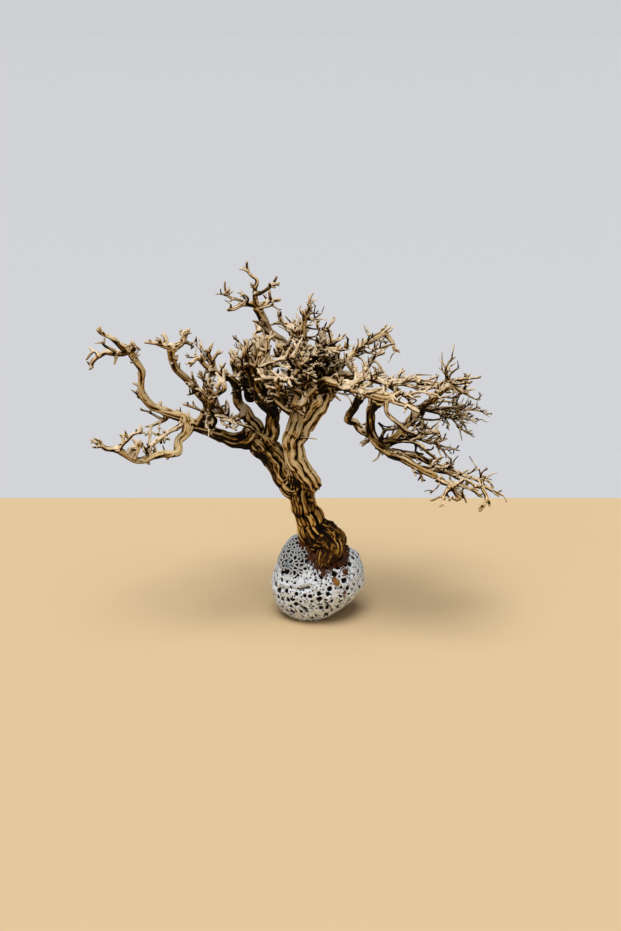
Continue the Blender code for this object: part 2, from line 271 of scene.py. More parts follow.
# how each kind of wood looks: size and stretch of its fibres, how pale, how strong the contrast, how
# open a place is when it is fully lit, where a groove starts, how pale the tips are, how grey it is
woodKinds = {
    "weatheredTrunk": {"fineness": 2300.0, "stretch": 0.06, "paleness": 0.10, "contrast": 1.6,
                       "openness": 0.90, "even": -0.03, "tips": 0.0, "greyness": 0.08, "palest": "weathered"},
    "weatheredLimbs": {"fineness": 3000.0, "stretch": 0.08, "paleness": 0.14, "contrast": 1.8,
                       "openness": 0.98, "even": -0.25, "tips": 0.18, "greyness": 0.03, "palest": "bleached"},
    "bleachedTwigs": {"fineness": 3400.0, "stretch": 0.16, "paleness": 0.19, "contrast": 2.15,
                      "openness": 1.06, "even": -0.40, "tips": 0.38, "greyness": 0.0, "palest": "bleached"},
}
# how much each thing shifts the wood's tone: light paints in light and shade, hollow paints shade in the
# hollows and highlights on the crests, crack paints shade in the cracks, and fibre, streak and patch are the
# wood's own grain and patches
toneShares = {"light": 0.42, "hollow": 0.27, "fibre": 0.15, "streak": 0.18, "patch": 0.2, "crack": 0.12}
# places where the tone is pushed darker, paler if the strength is negative: painted shade where limbs lie
# behind or under others and inside the crowns, painted highlight where negative, and wood made darker low on
# the trunk and at the foot. Each gives centre, inner and outer reach in millimetres, how much
darkPlaces = (
    ((-15, 7, 70), 7, 14, 0.55),
    ((-27, 10, 82), 6, 14, 0.42),
    ((-6, -2, 60), 3, 9, 0.25),
    ((-1, -1, 48), 8, 17, 0.34),
    ((8, -2, 33), 11, 18, 0.56),
    ((-12, 8, 104), 8, 20, 0.22),
    ((3, -5, 104), 3, 9, -0.24),
    ((1.5, -6, 49), 0.6, 2.8, 0.55),
    ((4, -7, 45), 0.8, 3.2, 0.60),
    ((7, -8, 41), 0.8, 3.2, 0.60),
    ((-7, -7, 69), 1.5, 5, 0.50),
    ((28, -2, 90), 4, 16, 0.34),
    ((41, -8, 83), 6, 18, 0.40),
    ((54, -14, 78), 5, 16, 0.28),
    ((-38, 8, 84), 5, 13, 0.30),
    ((-46, 8, 88), 4, 12, 0.22),
    ((50, 4, 104), 18, 34, 0.14),
    ((64, -16, 76), 12, 24, 0.14),
    ((-30, -4, 112), 12, 22, -0.07),
)


def buildFibreGroup():
    # fine streaks, long stains and a bump height that run along the grain
    tree, given, result = newTree("woodFibres", "ShaderNodeTree",
                                  {"Grain": "Vector", "Fineness": 2600.0, "Stretch": 0.07},
                                  ("Fibre", "Streak", "Height"))
    x, y, z = splitVector(given["Grain"])
    place = joinVector(x, y, times(z, given["Stretch"]))
    fibre = ease(cloudy(place, given["Fineness"], 3.0, 0.6), 0.32, 0.68)
    streak = ease(cloudy(place, times(given["Fineness"], 0.28)), 0.34, 0.66)
    plug(fibre, result["Fibre"])
    plug(streak, result["Streak"])
    plug(plus(times(fibre, 0.6), times(streak, 0.4)), result["Height"])
    return tree


fibreGroup = buildFibreGroup()


def woodTone(kind, place, fibres, patch, crack, hollow):
    # how pale each place is, from 0 in a dark hollow to 1 where it lies open to the light above: painted
    # light and shade laid over the wood's own fibres, streaks and patches
    tree, shares, even = place.id_data, toneShares, kind["even"]
    # painted light: places open to the light above, and faces turned up, are paler; places under other wood
    # are darker
    tone = ease(readAttribute(tree, "sky"), 0.05, kind["openness"], -shares["light"], shares["light"])
    # painted shade in the hollows of the skin, painted highlight on its crests
    tone = minus(tone, times(ease(hollow, even - 0.40, even + 0.40, -1.0, 1.0), shares["hollow"]))
    tips = ease(readAttribute(tree, "share"), 0.1, 1.0, -0.5 * kind["tips"], kind["tips"])
    tone = plus(tone, swing(fibres["Fibre"], shares["fibre"]), swing(fibres["Streak"], shares["streak"]),
                swing(patch, shares["patch"]), tips)
    tone = calc("MULTIPLY_ADD", tone, kind["contrast"], kind["paleness"])
    # painted shade in the cracks
    tone = minus(tone, times(crack, shares["crack"]))
    # painted shade, and painted highlight where negative, at the listed places; low on the trunk they only
    # make the wood darker
    for centre, near, reach, strength in darkPlaces:
        away = calcVector("DISTANCE", place, tuple(c * mm for c in centre))
        tone = minus(tone, ease(away, near * mm, reach * mm, strength, 0.0))
    return tone


def woodRamp(tone, palest):
    ramp = addNode(tone.id_data, "ShaderNodeValToRGB", {0: tone})
    stops = ramp.color_ramp.elements
    stops[0].position, stops[1].position = 0.05, 0.97
    stops[0].color, stops[1].color = (*woodColours["crevice"], 1.0), (*woodColours[palest], 1.0)
    for at, colour in ((0.22, "shade"), (0.48, "ochre"), (0.73, "straw")):
        stops.new(at).color = (*woodColours[colour], 1.0)
    return ramp.outputs[0]


def buildWood(name):
    kind = woodKinds[name]
    material, shader, place = newLook(name)
    tree = material.node_tree
    fibres = addNode(tree, "ShaderNodeGroup", None, {"node_tree": fibreGroup})
    for socket, value in (("Grain", readAttribute(tree, "grain", "Vector")), ("Fineness", kind["fineness"]),
                          ("Stretch", kind["stretch"])):
        plug(value, fibres.inputs[socket])
    crack, hollow = readAttribute(tree, "crack"), readAttribute(tree, "hollow")
    patch = cloudy(place, 70.0)
    tone = woodTone(kind, place, fibres.outputs, patch, crack, hollow)
    height = splitVector(place)["Z"]
    colour = mixColour(ease(height, 0.052, 0.078, 0.85, 0.0), woodRamp(tone, kind["palest"]),
                       woodColours["golden"], "MULTIPLY")
    # grey patches, darkened and lightened by the same tone with its painted light and shade, and a stain that
    # rises from the glue
    greyShare = times(ease(cloudy(place, 38.0, 1.0), 0.52, 0.66), kind["greyness"])
    colour = mixColour(greyShare, colour, mixColour(tone, woodColours["crevice"], woodColours["grey"]))
    low = times(ease(height, 0.030, 0.044, 1.0, 0.0), ease(patch, 0.30, 0.62, 0.25, 1.0))
    colour = mixColour(times(low, 0.75), colour, woodColours["stain"])
    # painted shade: deep cracks and hollows go over to near black
    deep = calc("MAXIMUM", ease(crack, 0.65, 1.0, 0.0, 0.4),
                ease(hollow, kind["even"] + 0.10, kind["even"] + 0.48))
    colour = mixColour(deep, colour, woodColours["crevice"])
    setSurface(shader, colour, ease(fibres.outputs["Fibre"], 0.0, 1.0, 0.62, 0.86), 0.1,
               fibres.outputs["Height"], 0.7, 0.00035)
    return material


trunkLook, limbLook, twigLook = [buildWood(name) for name in woodKinds]
print("wood looks made")


# name: (parent, radius at the start, radius at the tip, way as points), in millimetres.
# A limb starts on its parent's centre line, at the place nearest to its own first point.
limbWays = {
    "trunkFoot": (None, 7.8, 4.3, [(8, 0, 20), (7, -1, 29), (4, -1, 37), (0, -1, 45), (-3.5, 0, 53),
        (-4.5, 1, 60)]),
    "trunkBend": (None, 5.5, 3.9, [(2, -1, 108), (0, -2, 102), (-3, -4, 97), (-6, -7, 92), (-8, -8, 88),
        (-8, -9, 83), (-7, -9, 79), (-4, -9, 74), (-1, -9, 70), (1, -8, 67)]),
    "trunkCrown": ("trunkBend", 5.2, 4.2, [(2, 0, 108), (1, 2, 113), (-2, 4, 119)]),
    "trunkNeck": ("trunkFoot", 4.8, 4.4, [(-6, -1, 65), (-7, -5, 72), (-7, -7, 79)]),
    "toeMiddle": ("trunkFoot", 6.6, 4.2, [(7, -4, 37), (7, -8, 33), (6, -10, 30)]),
    "toeRight": ("trunkFoot", 5.2, 3.4, [(9, -2, 37), (10.5, -4, 34), (11.5, -5, 31)]),
    "trunkKnot": ("trunkFoot", 2.3, 1.3, [(-2, -3, 57), (0, -4.4, 57.6)]),
    "rearStrand": ("trunkBend", 2.6, 2.0, [(-2, 2, 90), (1, 4, 94), (4, 6, 99), (8, 8, 104),
        (11, 9, 110)]),
    "leftStrand": ("trunkFoot", 5.6, 5.2, [(-9, 4, 63), (-15, 6, 70), (-20, 8, 77), (-24, 9, 81)]),
    "leftLimb": ("leftStrand", 3.9, 2.6, [(-30, 8, 82), (-38, 8, 83), (-45, 9, 86), (-52, 8, 89),
        (-56, 8, 90)]),
    "greyRiser": ("leftStrand", 3.4, 2.0, [(-25, 11, 85), (-29, 13, 92), (-33, 14, 97), (-34, 14, 102),
        (-34, 12, 107)]),
    "post": ("leftStrand", 3.6, 2.6, [(-19, 9, 85), (-18, 8, 94), (-21, 5, 101), (-24, 2, 108),
        (-26, -2, 116), (-27, -5, 122)]),
    "leftHook": ("leftLimb", 2.4, 1.8, [(-58, 9, 92), (-64, 9, 95), (-70, 8, 97), (-73, 7, 100),
        (-76, 6, 105), (-76, 5, 111), (-75, 4, 116), (-77, 3, 120), (-79, 2, 124)]),
    "hookUpper": ("leftHook", 1.9, 0.8, [(-83, 0, 128), (-86, -2, 132), (-90, -3, 134), (-92, -4, 136)]),
    "hookLower": ("leftHook", 1.8, 0.9, [(-85, 3, 124), (-90, 5, 124), (-94, 6, 122), (-97, 7, 119),
        (-98, 8, 116)]),
    "lowArm": ("leftLimb", 2.2, 1.5, [(-57, 5, 86), (-60, 1, 84), (-60, -2, 81), (-61, -5, 80),
        (-66, -8, 81), (-70, -11, 81), (-75, -14, 80), (-79, -16, 82), (-83, -18, 86)]),
    "lowArmTip": ("lowArm", 1.4, 0.7, [(-88, -21, 88), (-91, -23, 91), (-94, -24, 93)]),
    "lowLight": ("leftLimb", 1.3, 0.9, [(-60, 3, 90), (-64, -2, 89), (-68, -6, 87), (-71, -9, 85),
        (-72, -11, 82)]),
    "antler": ("leftLimb", 2.0, 1.8, [(-47, 5, 98), (-49, 4, 104), (-53, 3, 109), (-56, 2, 113),
        (-60, 0, 118), (-61, -2, 123), (-61, -3, 127)]),
    "antlerLeft": ("antler", 1.3, 0.7, [(-63, -5, 129), (-67, -7, 131), (-71, -9, 132)]),
    "antlerRight": ("antler", 1.6, 1.2, [(-59, -2, 128), (-56, -1, 130), (-55, 0, 134)]),
    "leftSprig": ("leftLimb", 1.8, 0.9, [(-44, 3, 96), (-46, 0, 102), (-49, -3, 108), (-51, -5, 112),
        (-51, -6, 114)]),
    "leftLight": ("greyRiser", 1.7, 1.1, [(-36, 3, 93), (-39, -1, 98), (-43, -5, 103), (-46, -8, 107),
        (-48, -10, 111)]),
    "longTwig": ("leftLimb", 0.9, 0.5, [(-43, 4, 93), (-47, 0, 97), (-51, -4, 101), (-56, -8, 104)]),
    "longTwig2": ("antler", 0.6, 0.3, [(-56, 9, 93), (-61, 10, 96)]),
    "longTwig3": ("greyRiser", 0.8, 0.6, [(-27, 3, 89), (-32, -2, 93), (-37, -6, 97), (-42, -9, 99)]),
    "upperLeft": ("greyRiser", 2.0, 1.1, [(-34, 9, 108), (-37, 5, 113), (-42, 1, 116), (-46, -2, 119),
        (-48, -5, 123)]),
    "curl": ("leftLight", 1.2, 1.2, [(-41, -6, 108), (-38, -8, 111), (-39, -8, 114), (-41, -8, 112)]),
    "sprigA": ("post", 1.2, 0.6, [(-29, 2, 112), (-31, -1, 115), (-33, -4, 120), (-35, -5, 123)]),
    "sprigB": ("sprigA", 0.9, 0.5, [(-29, -3, 117), (-30, -6, 122), (-31, -8, 125), (-32, -9, 126)]),
    "stoutA": ("post", 1.6, 1.3, [(-28, -6, 124), (-29, -8, 127), (-28, -9, 132)]),
    "stoutB": ("post", 1.7, 0.8, [(-24, -8, 122), (-22, -11, 128), (-23, -13, 132)]),
    "stoutC": ("stoutB", 1.6, 0.8, [(-20, -12, 127), (-19, -15, 132), (-19, -16, 136)]),
    "forkLeft": ("post", 2.4, 1.6, [(-25, 12, 104), (-29, 18, 106), (-32, 22, 110)]),
    "forkLeft2": ("forkLeft", 1.8, 1.0, [(-28, 12, 100), (-30, 8, 107), (-31, 6, 112), (-31, 5, 117)]),
    "innerA": ("trunkBend", 2.4, 1.4, [(-13, 3, 100), (-18, 4, 105), (-21, 2, 112), (-24, 0, 117)]),
    "innerB": ("innerA", 2.2, 1.2, [(-13, 6, 103), (-16, 10, 107), (-19, 14, 113), (-20, 17, 119)]),
    "innerC": ("trunkBend", 2.4, 1.6, [(-7, 6, 104), (-9, 10, 109), (-9, 14, 114), (-10, 17, 120)]),
    "innerD": ("trunkBend", 2.0, 1.2, [(-10, -8, 104), (-13, -13, 109), (-14, -17, 114),
        (-15, -19, 119)]),
    "innerE": ("trunkCrown", 2.2, 1.4, [(-5, -4, 118), (-9, -9, 123), (-12, -13, 127), (-14, -16, 132)]),
    "bar": ("stoutC", 1.0, 0.7, [(-22, -15, 123), (-16, -18, 126), (-10, -19, 128), (-7, -18, 130),
        (-6, -17, 133)]),
    "bar2": ("bar", 0.7, 0.5, [(-5, -18, 123), (-2, -15, 119)]),
    "knuckle": ("trunkCrown", 2.2, 1.7, [(0, -8, 111), (-3, -12, 109), (-6, -15, 110), (-7, -16, 107)]),
    "leader": ("trunkCrown", 3.0, 1.9, [(-5, 6, 115), (-9, 4, 122), (-12, 2, 128), (-16, 0, 132),
        (-19, -2, 136), (-21, -4, 141), (-23, -6, 146)]),
    "leaderTop": ("leader", 1.2, 0.5, [(-24, -8, 150), (-24, -10, 155), (-23, -11, 159), (-26, -12, 162),
        (-27, -12, 165), (-27, -13, 167)]),
    "leaderRib": ("leader", 1.3, 0.4, [(-19, -4, 135), (-22, -6, 139), (-25, -8, 141)]),
    "leaderLeft": ("leader", 1.3, 0.9, [(-27, -7, 148), (-30, -9, 148), (-33, -11, 147),
        (-35, -12, 147)]),
    "leaderLeft2": ("leaderLeft", 0.8, 0.4, [(-30, -5, 149), (-34, -4, 150), (-36, -4, 151),
        (-37, -4, 153), (-37, -5, 157)]),
    "leaderRight": ("leaderTop", 0.9, 0.6, [(-22, -9, 153), (-19, -10, 155), (-17, -11, 157),
        (-14, -12, 158)]),
    "leaderFan": ("leader", 1.5, 0.8, [(-20, -5, 148), (-18, -4, 149), (-14, -3, 149)]),
    "spike": ("trunkCrown", 2.4, 0.6, [(-4, 0, 126), (-4, -3, 132), (-4, -5, 137), (-3, -6, 141),
        (-2, -7, 145), (0, -8, 147)]),
    "block": ("trunkCrown", 2.0, 1.0, [(2, -1, 125), (6, -3, 127), (11, -5, 128)]),
    "shoulder": ("trunkCrown", 1.7, 0.9, [(4, 6, 120), (7, 12, 123), (8, 17, 126)]),
    "rightLimb": ("trunkBend", 2.6, 1.5, [(6, -7, 114), (11, -10, 114), (17, -12, 113), (22, -13, 111),
        (27, -13, 109), (32, -12, 108), (37, -10, 109)]),
    "elbow": ("rightLimb", 1.9, 1.9, [(20, -8, 105), (18, -4, 100), (16, 0, 95), (19, 2, 92),
        (22, 2, 89), (26, 0, 87)]),
    "droop": ("rightLimb", 2.7, 1.7, [(26, -6, 101), (26, -3, 94), (26, -2, 89), (29, -5, 85),
        (34, -9, 82), (41, -13, 80), (47, -17, 77), (53, -20, 75)]),
    "droopTip": ("droop", 1.6, 0.8, [(57, -22, 73), (63, -24, 73), (66, -25, 72), (70, -26, 71)]),
    "droopUpper": ("droop", 1.9, 0.9, [(38, -4, 80), (46, -5, 79), (52, -7, 77), (57, -9, 75),
        (63, -12, 74), (68, -15, 73), (73, -17, 72)]),
    "droopFar": ("droopUpper", 0.9, 0.4, [(75, -19, 70), (78, -21, 69), (83, -23, 67)]),
    "droopDrop": ("droopUpper", 1.0, 0.7, [(74, -20, 70), (76, -22, 66), (75, -24, 64), (73, -25, 61)]),
    "droopFoot": ("droopTip", 1.4, 1.0, [(61, -22, 70), (64, -22, 66)]),
    "midLimb": ("droop", 2.4, 1.8, [(34, 0, 84), (39, 5, 86), (43, 9, 89), (46, 12, 92), (49, 14, 94)]),
    "fanA": ("midLimb", 0.9, 0.4, [(54, 13, 95), (61, 12, 96), (68, 10, 96), (75, 9, 96)]),
    "fanB": ("midLimb", 0.8, 0.3, [(56, 16, 93), (63, 18, 91), (69, 19, 89), (76, 20, 87)]),
    "arch": ("rightLimb", 1.1, 0.9, [(32, -14, 103), (35, -14, 99), (40, -12, 94), (44, -9, 91)]),
    "arch2": ("droop", 0.9, 0.6, [(32, -8, 92), (36, -12, 94), (39, -13, 96)]),
    "hooked": ("rearStrand", 2.0, 1.1, [(12, 12, 115), (16, 15, 118), (19, 17, 121), (23, 19, 124),
        (27, 20, 126), (32, 21, 128), (34, 21, 127), (36, 20, 125)]),
    "hookedBase": ("trunkCrown", 2.2, 1.6, [(6, 8, 113), (10, 11, 114), (13, 13, 115)]),
    "canopyA": ("hooked", 1.6, 1.0, [(22, 7, 113), (25, 13, 116), (28, 17, 119), (32, 19, 120)]),
    "upperRight": ("hookedBase", 1.9, 1.2, [(11, 4, 114), (18, 5, 114), (25, 6, 112), (32, 6, 110),
        (39, 5, 111), (45, 3, 112)]),
    "upperRight2": ("upperRight", 1.4, 1.4, [(48, 5, 110), (54, 6, 109), (60, 7, 108), (65, 8, 106),
        (69, 8, 105)]),
    "upperRight5": ("upperRight2", 1.3, 0.6, [(59, 3, 111), (64, 0, 113), (69, -2, 114)]),
    "lowerRight": ("rightLimb", 1.4, 0.9, [(36, -15, 107), (41, -17, 106), (45, -18, 104)]),
    "golden": ("midLimb", 1.6, 1.4, [(51, 6, 100), (54, 1, 104), (57, -2, 108), (59, -4, 111)]),
    "crossA": ("rightLimb", 1.1, 0.7, [(20, -6, 115), (17, -2, 118), (14, 2, 121)]),
    "crossB": ("rightLimb", 1.2, 0.8, [(31, -8, 111), (37, -4, 112), (43, 0, 110), (50, 3, 108),
        (55, 5, 108)]),
    "rearA": ("trunkCrown", 2.4, 1.0, [(0, 14, 108), (-3, 24, 109), (-6, 33, 110), (-8, 40, 115)]),
    "rearB": ("innerC", 1.8, 0.8, [(-9, 18, 102), (-15, 29, 101), (-21, 37, 103), (-26, 42, 107)]),
    "rearC": ("trunkCrown", 2.0, 0.9, [(9, 16, 105), (16, 26, 101), (23, 34, 100), (31, 40, 101)]),
    "frontA": ("trunkCrown", 1.8, 0.9, [(-2, -6, 112), (-6, -16, 115), (-10, -24, 119), (-15, -31, 122),
        (-20, -36, 124)]),
    "frontB": ("rightLimb", 1.8, 0.8, [(12, -19, 115), (17, -27, 116), (23, -33, 117), (28, -38, 120)]),
    "hookStub": ("leftHook", 1.2, 0.8, [(-77, 0, 127), (-78, -1, 130)]),
    "hookStub2": ("hookStub", 0.8, 0.5, [(-77, 3, 127)]),
    "hookFinger": ("hookLower", 0.7, 0.5, [(-87, 1, 126), (-90, 0, 128), (-91, -1, 130)]),
    "hookFinger2": ("hookLower", 0.8, 0.5, [(-96, 6, 124), (-99, 6, 121)]),
    "hookBarb": ("leftHook", 0.9, 0.3, [(-77, 6, 103), (-78, 5, 105), (-80, 4, 107)]),
    "hookFlake": ("leftHook", 0.8, 0.4, [(-67, 8, 92), (-71, 8, 94), (-74, 7, 96), (-76, 6, 97)]),
    "lowFork": ("lowArmTip", 0.6, 0.4, [(-92, -22, 89), (-94, -22, 89)]),
    "lowFork2": ("lowArmTip", 0.6, 0.4, [(-90, -23, 92), (-91, -24, 93)]),
    "lowSpray": ("lowArmTip", 1.0, 0.6, [(-82, -19, 89), (-79, -21, 92), (-76, -22, 95), (-72, -23, 96)]),
    "lowSpray2": ("lowSpray", 0.5, 0.3, [(-80, -22, 94), (-80, -22, 95)]),
    "lowSpray3": ("lowSpray", 0.4, 0.3, [(-75, -22, 97)]),
    "lowKnot": ("lowArm", 1.9, 1.2, [(-77, -15, 85), (-75, -16, 89)]),
    "lowKnot2": ("lowKnot", 1.1, 0.7, [(-78, -17, 87), (-79, -18, 87)]),
    "lowKnot3": ("lowKnot", 1.0, 0.6, [(-74, -14, 88), (-74, -14, 88)]),
    "lowKnot4": ("lowArm", 1.0, 0.5, [(-72, -12, 83), (-73, -13, 86), (-74, -14, 87)]),
    "lowThorn": ("lowArm", 0.8, 0.3, [(-69, -10, 83), (-69, -10, 85)]),
    "lowArch": ("leftHook", 0.9, 0.6, [(-66, 8, 92), (-70, 5, 91), (-72, 1, 90), (-72, -3, 87),
        (-72, -7, 84), (-72, -9, 82)]),
    "lowLight2": ("lowLight", 0.7, 0.5, [(-68, -4, 89), (-69, -5, 89)]),
    "lowLight3": ("lowLight", 0.6, 0.4, [(-67, -5, 87), (-67, -5, 85)]),
    "lowDrop": ("lowLight", 0.4, 0.3, [(-65, -2, 86), (-66, -2, 84)]),
    "antlerLeft2": ("antlerLeft", 1.0, 0.9, [(-63, -4, 131), (-64, -3, 134)]),
    "antlerLeft3": ("antlerLeft", 0.7, 0.7, [(-65, -7, 132), (-65, -8, 133)]),
    "antlerRight2": ("antlerRight", 0.8, 0.7, [(-54, -3, 134), (-53, -4, 136)]),
    "antlerRight3": ("antlerRight", 0.8, 0.6, [(-57, 2, 133), (-57, 3, 134)]),
    "antlerRight4": ("antlerRight", 0.9, 0.6, [(-54, 1, 129), (-53, 2, 128), (-52, 3, 127)]),
    "leftSprig2": ("leftSprig", 0.8, 0.5, [(-48, 1, 107), (-47, 3, 110), (-48, 4, 112), (-49, 5, 115)]),
    "leftSprig3": ("leftSprig2", 0.6, 0.4, [(-46, 1, 112), (-44, 0, 112)]),
    "leftSprig4": ("leftSprig", 0.6, 0.4, [(-52, -5, 108), (-54, -7, 108)]),
    "leftLight2": ("leftLight", 0.9, 0.6, [(-43, -8, 108), (-44, -9, 111)]),
    "underRoot": ("longTwig", 0.8, 0.6, [(-44, -5, 96), (-44, -6, 94)]),
    "underRoot2": ("underRoot", 0.6, 0.5, [(-45, -6, 95), (-46, -6, 93)]),
    "underRoot3": ("longTwig3", 0.8, 0.6, [(-40, -6, 97), (-39, -8, 95), (-37, -8, 94)]),
    "upperLeft2": ("upperLeft", 0.8, 0.6, [(-50, -7, 124), (-52, -8, 122)]),
    "upperLeft3": ("upperLeft", 0.6, 0.4, [(-49, -4, 124), (-51, -3, 124)]),
    "upperLeft4": ("upperLeft", 0.6, 0.4, [(-47, -6, 124), (-48, -6, 126)]),
    "upperLeft5": ("upperLeft", 0.6, 0.4, [(-47, -2, 122), (-47, -1, 124)]),
    "upperLeft6": ("upperLeft", 1.1, 0.9, [(-43, -1, 121), (-45, -2, 124), (-45, -3, 127)]),
    "fineRise": ("leftSprig", 0.5, 0.3, [(-44, -2, 108), (-44, -3, 112), (-45, -3, 116)]),
    "fineRise2": ("leftLight", 0.5, 0.3, [(-42, 2, 103), (-44, 2, 107), (-46, 2, 108)]),
    "knuckle2": ("knuckle", 1.6, 1.6, [(-4, -15, 108), (-5, -16, 107)]),
    "knuckle3": ("knuckle", 1.3, 1.2, [(-6, -16, 112), (-8, -17, 114)]),
    "leaderLeft3": ("leaderLeft2", 0.5, 0.3, [(-37, -3, 151), (-38, -2, 151)]),
    "leaderLeft4": ("leaderLeft2", 0.5, 0.3, [(-35, -5, 153)]),
    "leaderLeft5": ("leaderLeft", 0.6, 0.3, [(-34, -12, 149)]),
    "leaderMid": ("leaderLeft", 0.6, 0.3, [(-27, -9, 151), (-29, -11, 153), (-31, -12, 154)]),
    "leaderMid2": ("leaderMid", 0.5, 0.3, [(-29, -8, 151)]),
    "leaderMid3": ("leaderTop", 0.6, 0.3, [(-24, -9, 151), (-25, -10, 154)]),
    "leaderRight2": ("leaderRight", 0.7, 0.5, [(-16, -10, 158), (-15, -9, 160)]),
    "leaderFan2": ("leaderFan", 0.7, 0.6, [(-18, -5, 151), (-18, -5, 153)]),
    "leaderFan3": ("leader", 0.9, 0.5, [(-20, -8, 147), (-17, -9, 148)]),
    "spike2": ("spike", 0.6, 0.3, [(-2, -8, 143), (0, -9, 145)]),
    "spike3": ("spike", 0.4, 0.25, [(0, -6, 141), (4, -7, 144)]),
    "spike4": ("spike", 0.5, 0.25, [(1, -6, 137), (5, -8, 138)]),
    "spike5": ("spike", 0.5, 0.3, [(0, -4, 133), (3, -4, 134)]),
    "spike6": ("spike", 1.4, 1.0, [(-6, -5, 134), (-6, -7, 137)]),
    "block2": ("block", 0.9, 0.6, [(5, -3, 128), (6, -4, 131)]),
    "droopDrop2": ("droopDrop", 0.7, 0.5, [(77, -23, 64), (77, -24, 63)]),
    "droopDrop3": ("droopDrop", 0.6, 0.4, [(73, -26, 64), (72, -27, 63)]),
    "droopWire": ("droopUpper", 0.4, 0.3, [(74, -18, 76), (76, -19, 78)]),
    "droopWire2": ("droopUpper", 0.4, 0.3, [(76, -19, 73), (78, -20, 72)]),
    "droopMid": ("midLimb", 1.3, 0.7, [(36, -3, 85), (42, -4, 86), (47, -6, 85), (51, -8, 82),
        (56, -9, 78)]),
    "droopWeb": ("droop", 0.9, 0.6, [(49, -12, 76), (56, -14, 75), (62, -16, 74), (67, -19, 73),
        (71, -22, 71)]),
    "droopFoot2": ("droopFoot", 1.1, 0.7, [(58, -23, 69), (57, -24, 66)]),
    "droopFoot3": ("droopFoot", 0.8, 0.6, [(65, -20, 68), (66, -19, 65)]),
    "droopFoot4": ("droopFoot", 0.9, 0.5, [(63, -23, 65)]),
    "droopBarb": ("droopTip", 0.6, 0.3, [(55, -23, 73)]),
    "droopBarb2": ("droop", 0.5, 0.3, [(47, -19, 76)]),
    "midFork": ("midLimb", 1.3, 0.9, [(44, 2, 86), (50, -1, 88), (55, -4, 90)]),
    "midFork2": ("midFork", 0.7, 0.5, [(56, -4, 89), (57, -5, 87)]),
    "midFork3": ("midFork", 0.7, 0.4, [(47, 7, 83), (55, 9, 81), (60, 11, 78), (66, 13, 76)]),
    "midFork4": ("midFork3", 0.6, 0.3, [(57, 10, 78), (61, 12, 76)]),
    "midFork5": ("midLimb", 0.9, 0.5, [(47, 8, 89), (50, 6, 91)]),
    "midFork6": ("midFork", 0.6, 0.4, [(45, 2, 89), (49, 0, 90), (53, -2, 91)]),
    "fanC": ("midLimb", 0.7, 0.3, [(56, 8, 97), (63, 4, 99), (67, 2, 99), (70, 0, 102)]),
    "fanD": ("midLimb", 0.7, 0.3, [(56, 14, 93), (63, 13, 91), (67, 12, 87), (71, 11, 84)]),
    "fanE": ("midLimb", 0.6, 0.3, [(55, 19, 96), (62, 22, 96), (68, 24, 94)]),
    "fanF": ("midLimb", 0.6, 0.3, [(49, 12, 91), (55, 10, 91), (62, 8, 93), (66, 6, 92), (69, 4, 90)]),
    "fanG": ("midLimb", 0.6, 0.3, [(54, 17, 95), (61, 21, 92), (67, 24, 90), (73, 27, 87)]),
    "fanH": ("fanD", 0.5, 0.3, [(60, 14, 94), (65, 16, 89), (67, 18, 85)]),
    "arch3": ("arch2", 0.4, 0.3, [(29, -6, 95), (32, -9, 94), (35, -11, 95)]),
    "hooked2": ("hooked", 0.5, 0.3, [(36, 18, 124), (37, 16, 121)]),
    "hooked3": ("hooked", 0.7, 0.4, [(25, 23, 123), (29, 26, 124), (33, 28, 123)]),
    "hooked4": ("hooked", 0.6, 0.4, [(25, 15, 121), (29, 14, 123), (33, 13, 125)]),
    "hooked5": ("hooked", 0.6, 0.4, [(22, 14, 124), (27, 13, 129), (30, 12, 131)]),
    "hookedStub": ("hooked", 1.2, 0.9, [(14, 11, 119), (11, 8, 118)]),
    "canopyB": ("canopyA", 0.8, 0.4, [(24, 15, 115), (28, 11, 118), (30, 8, 117)]),
    "upperRight3": ("upperRight2", 0.8, 0.5, [(68, 7, 107), (69, 6, 109)]),
    "upperRight4": ("upperRight2", 0.7, 0.5, [(68, 9, 104), (70, 10, 103)]),
    "upperRight6": ("upperRight5", 0.8, 0.4, [(59, 3, 115), (59, 2, 118), (61, 1, 122)]),
    "upperRight7": ("upperRight5", 0.5, 0.3, [(61, 4, 114), (63, 5, 116)]),
    "upperRight8": ("upperRight5", 0.5, 0.3, [(59, 1, 115), (60, -1, 118)]),
    "upperWire": ("upperRight", 0.4, 0.25, [(44, 6, 112), (46, 7, 113), (50, 7, 113), (53, 7, 113)]),
    "crossC": ("rightLimb", 0.8, 0.5, [(41, -14, 110), (46, -16, 112), (51, -18, 112)]),
    "crossD": ("rightLimb", 0.8, 0.5, [(21, -16, 117), (26, -21, 119), (31, -25, 118)]),
    "crossE": ("upperRight", 0.8, 0.5, [(33, 2, 110), (38, 8, 105), (43, 13, 101), (49, 17, 100)]),
    "hangA": ("rightLimb", 0.7, 0.4, [(9, -10, 110), (12, -12, 107)]),
    "hangB": ("rightLimb", 0.5, 0.3, [(10, -11, 111), (14, -14, 110), (16, -15, 109), (17, -15, 106)]),
    "trunkThorn": ("trunkBend", 0.6, 0.3, [(-4, -12, 90), (-1, -15, 91), (2, -17, 91)]),
}

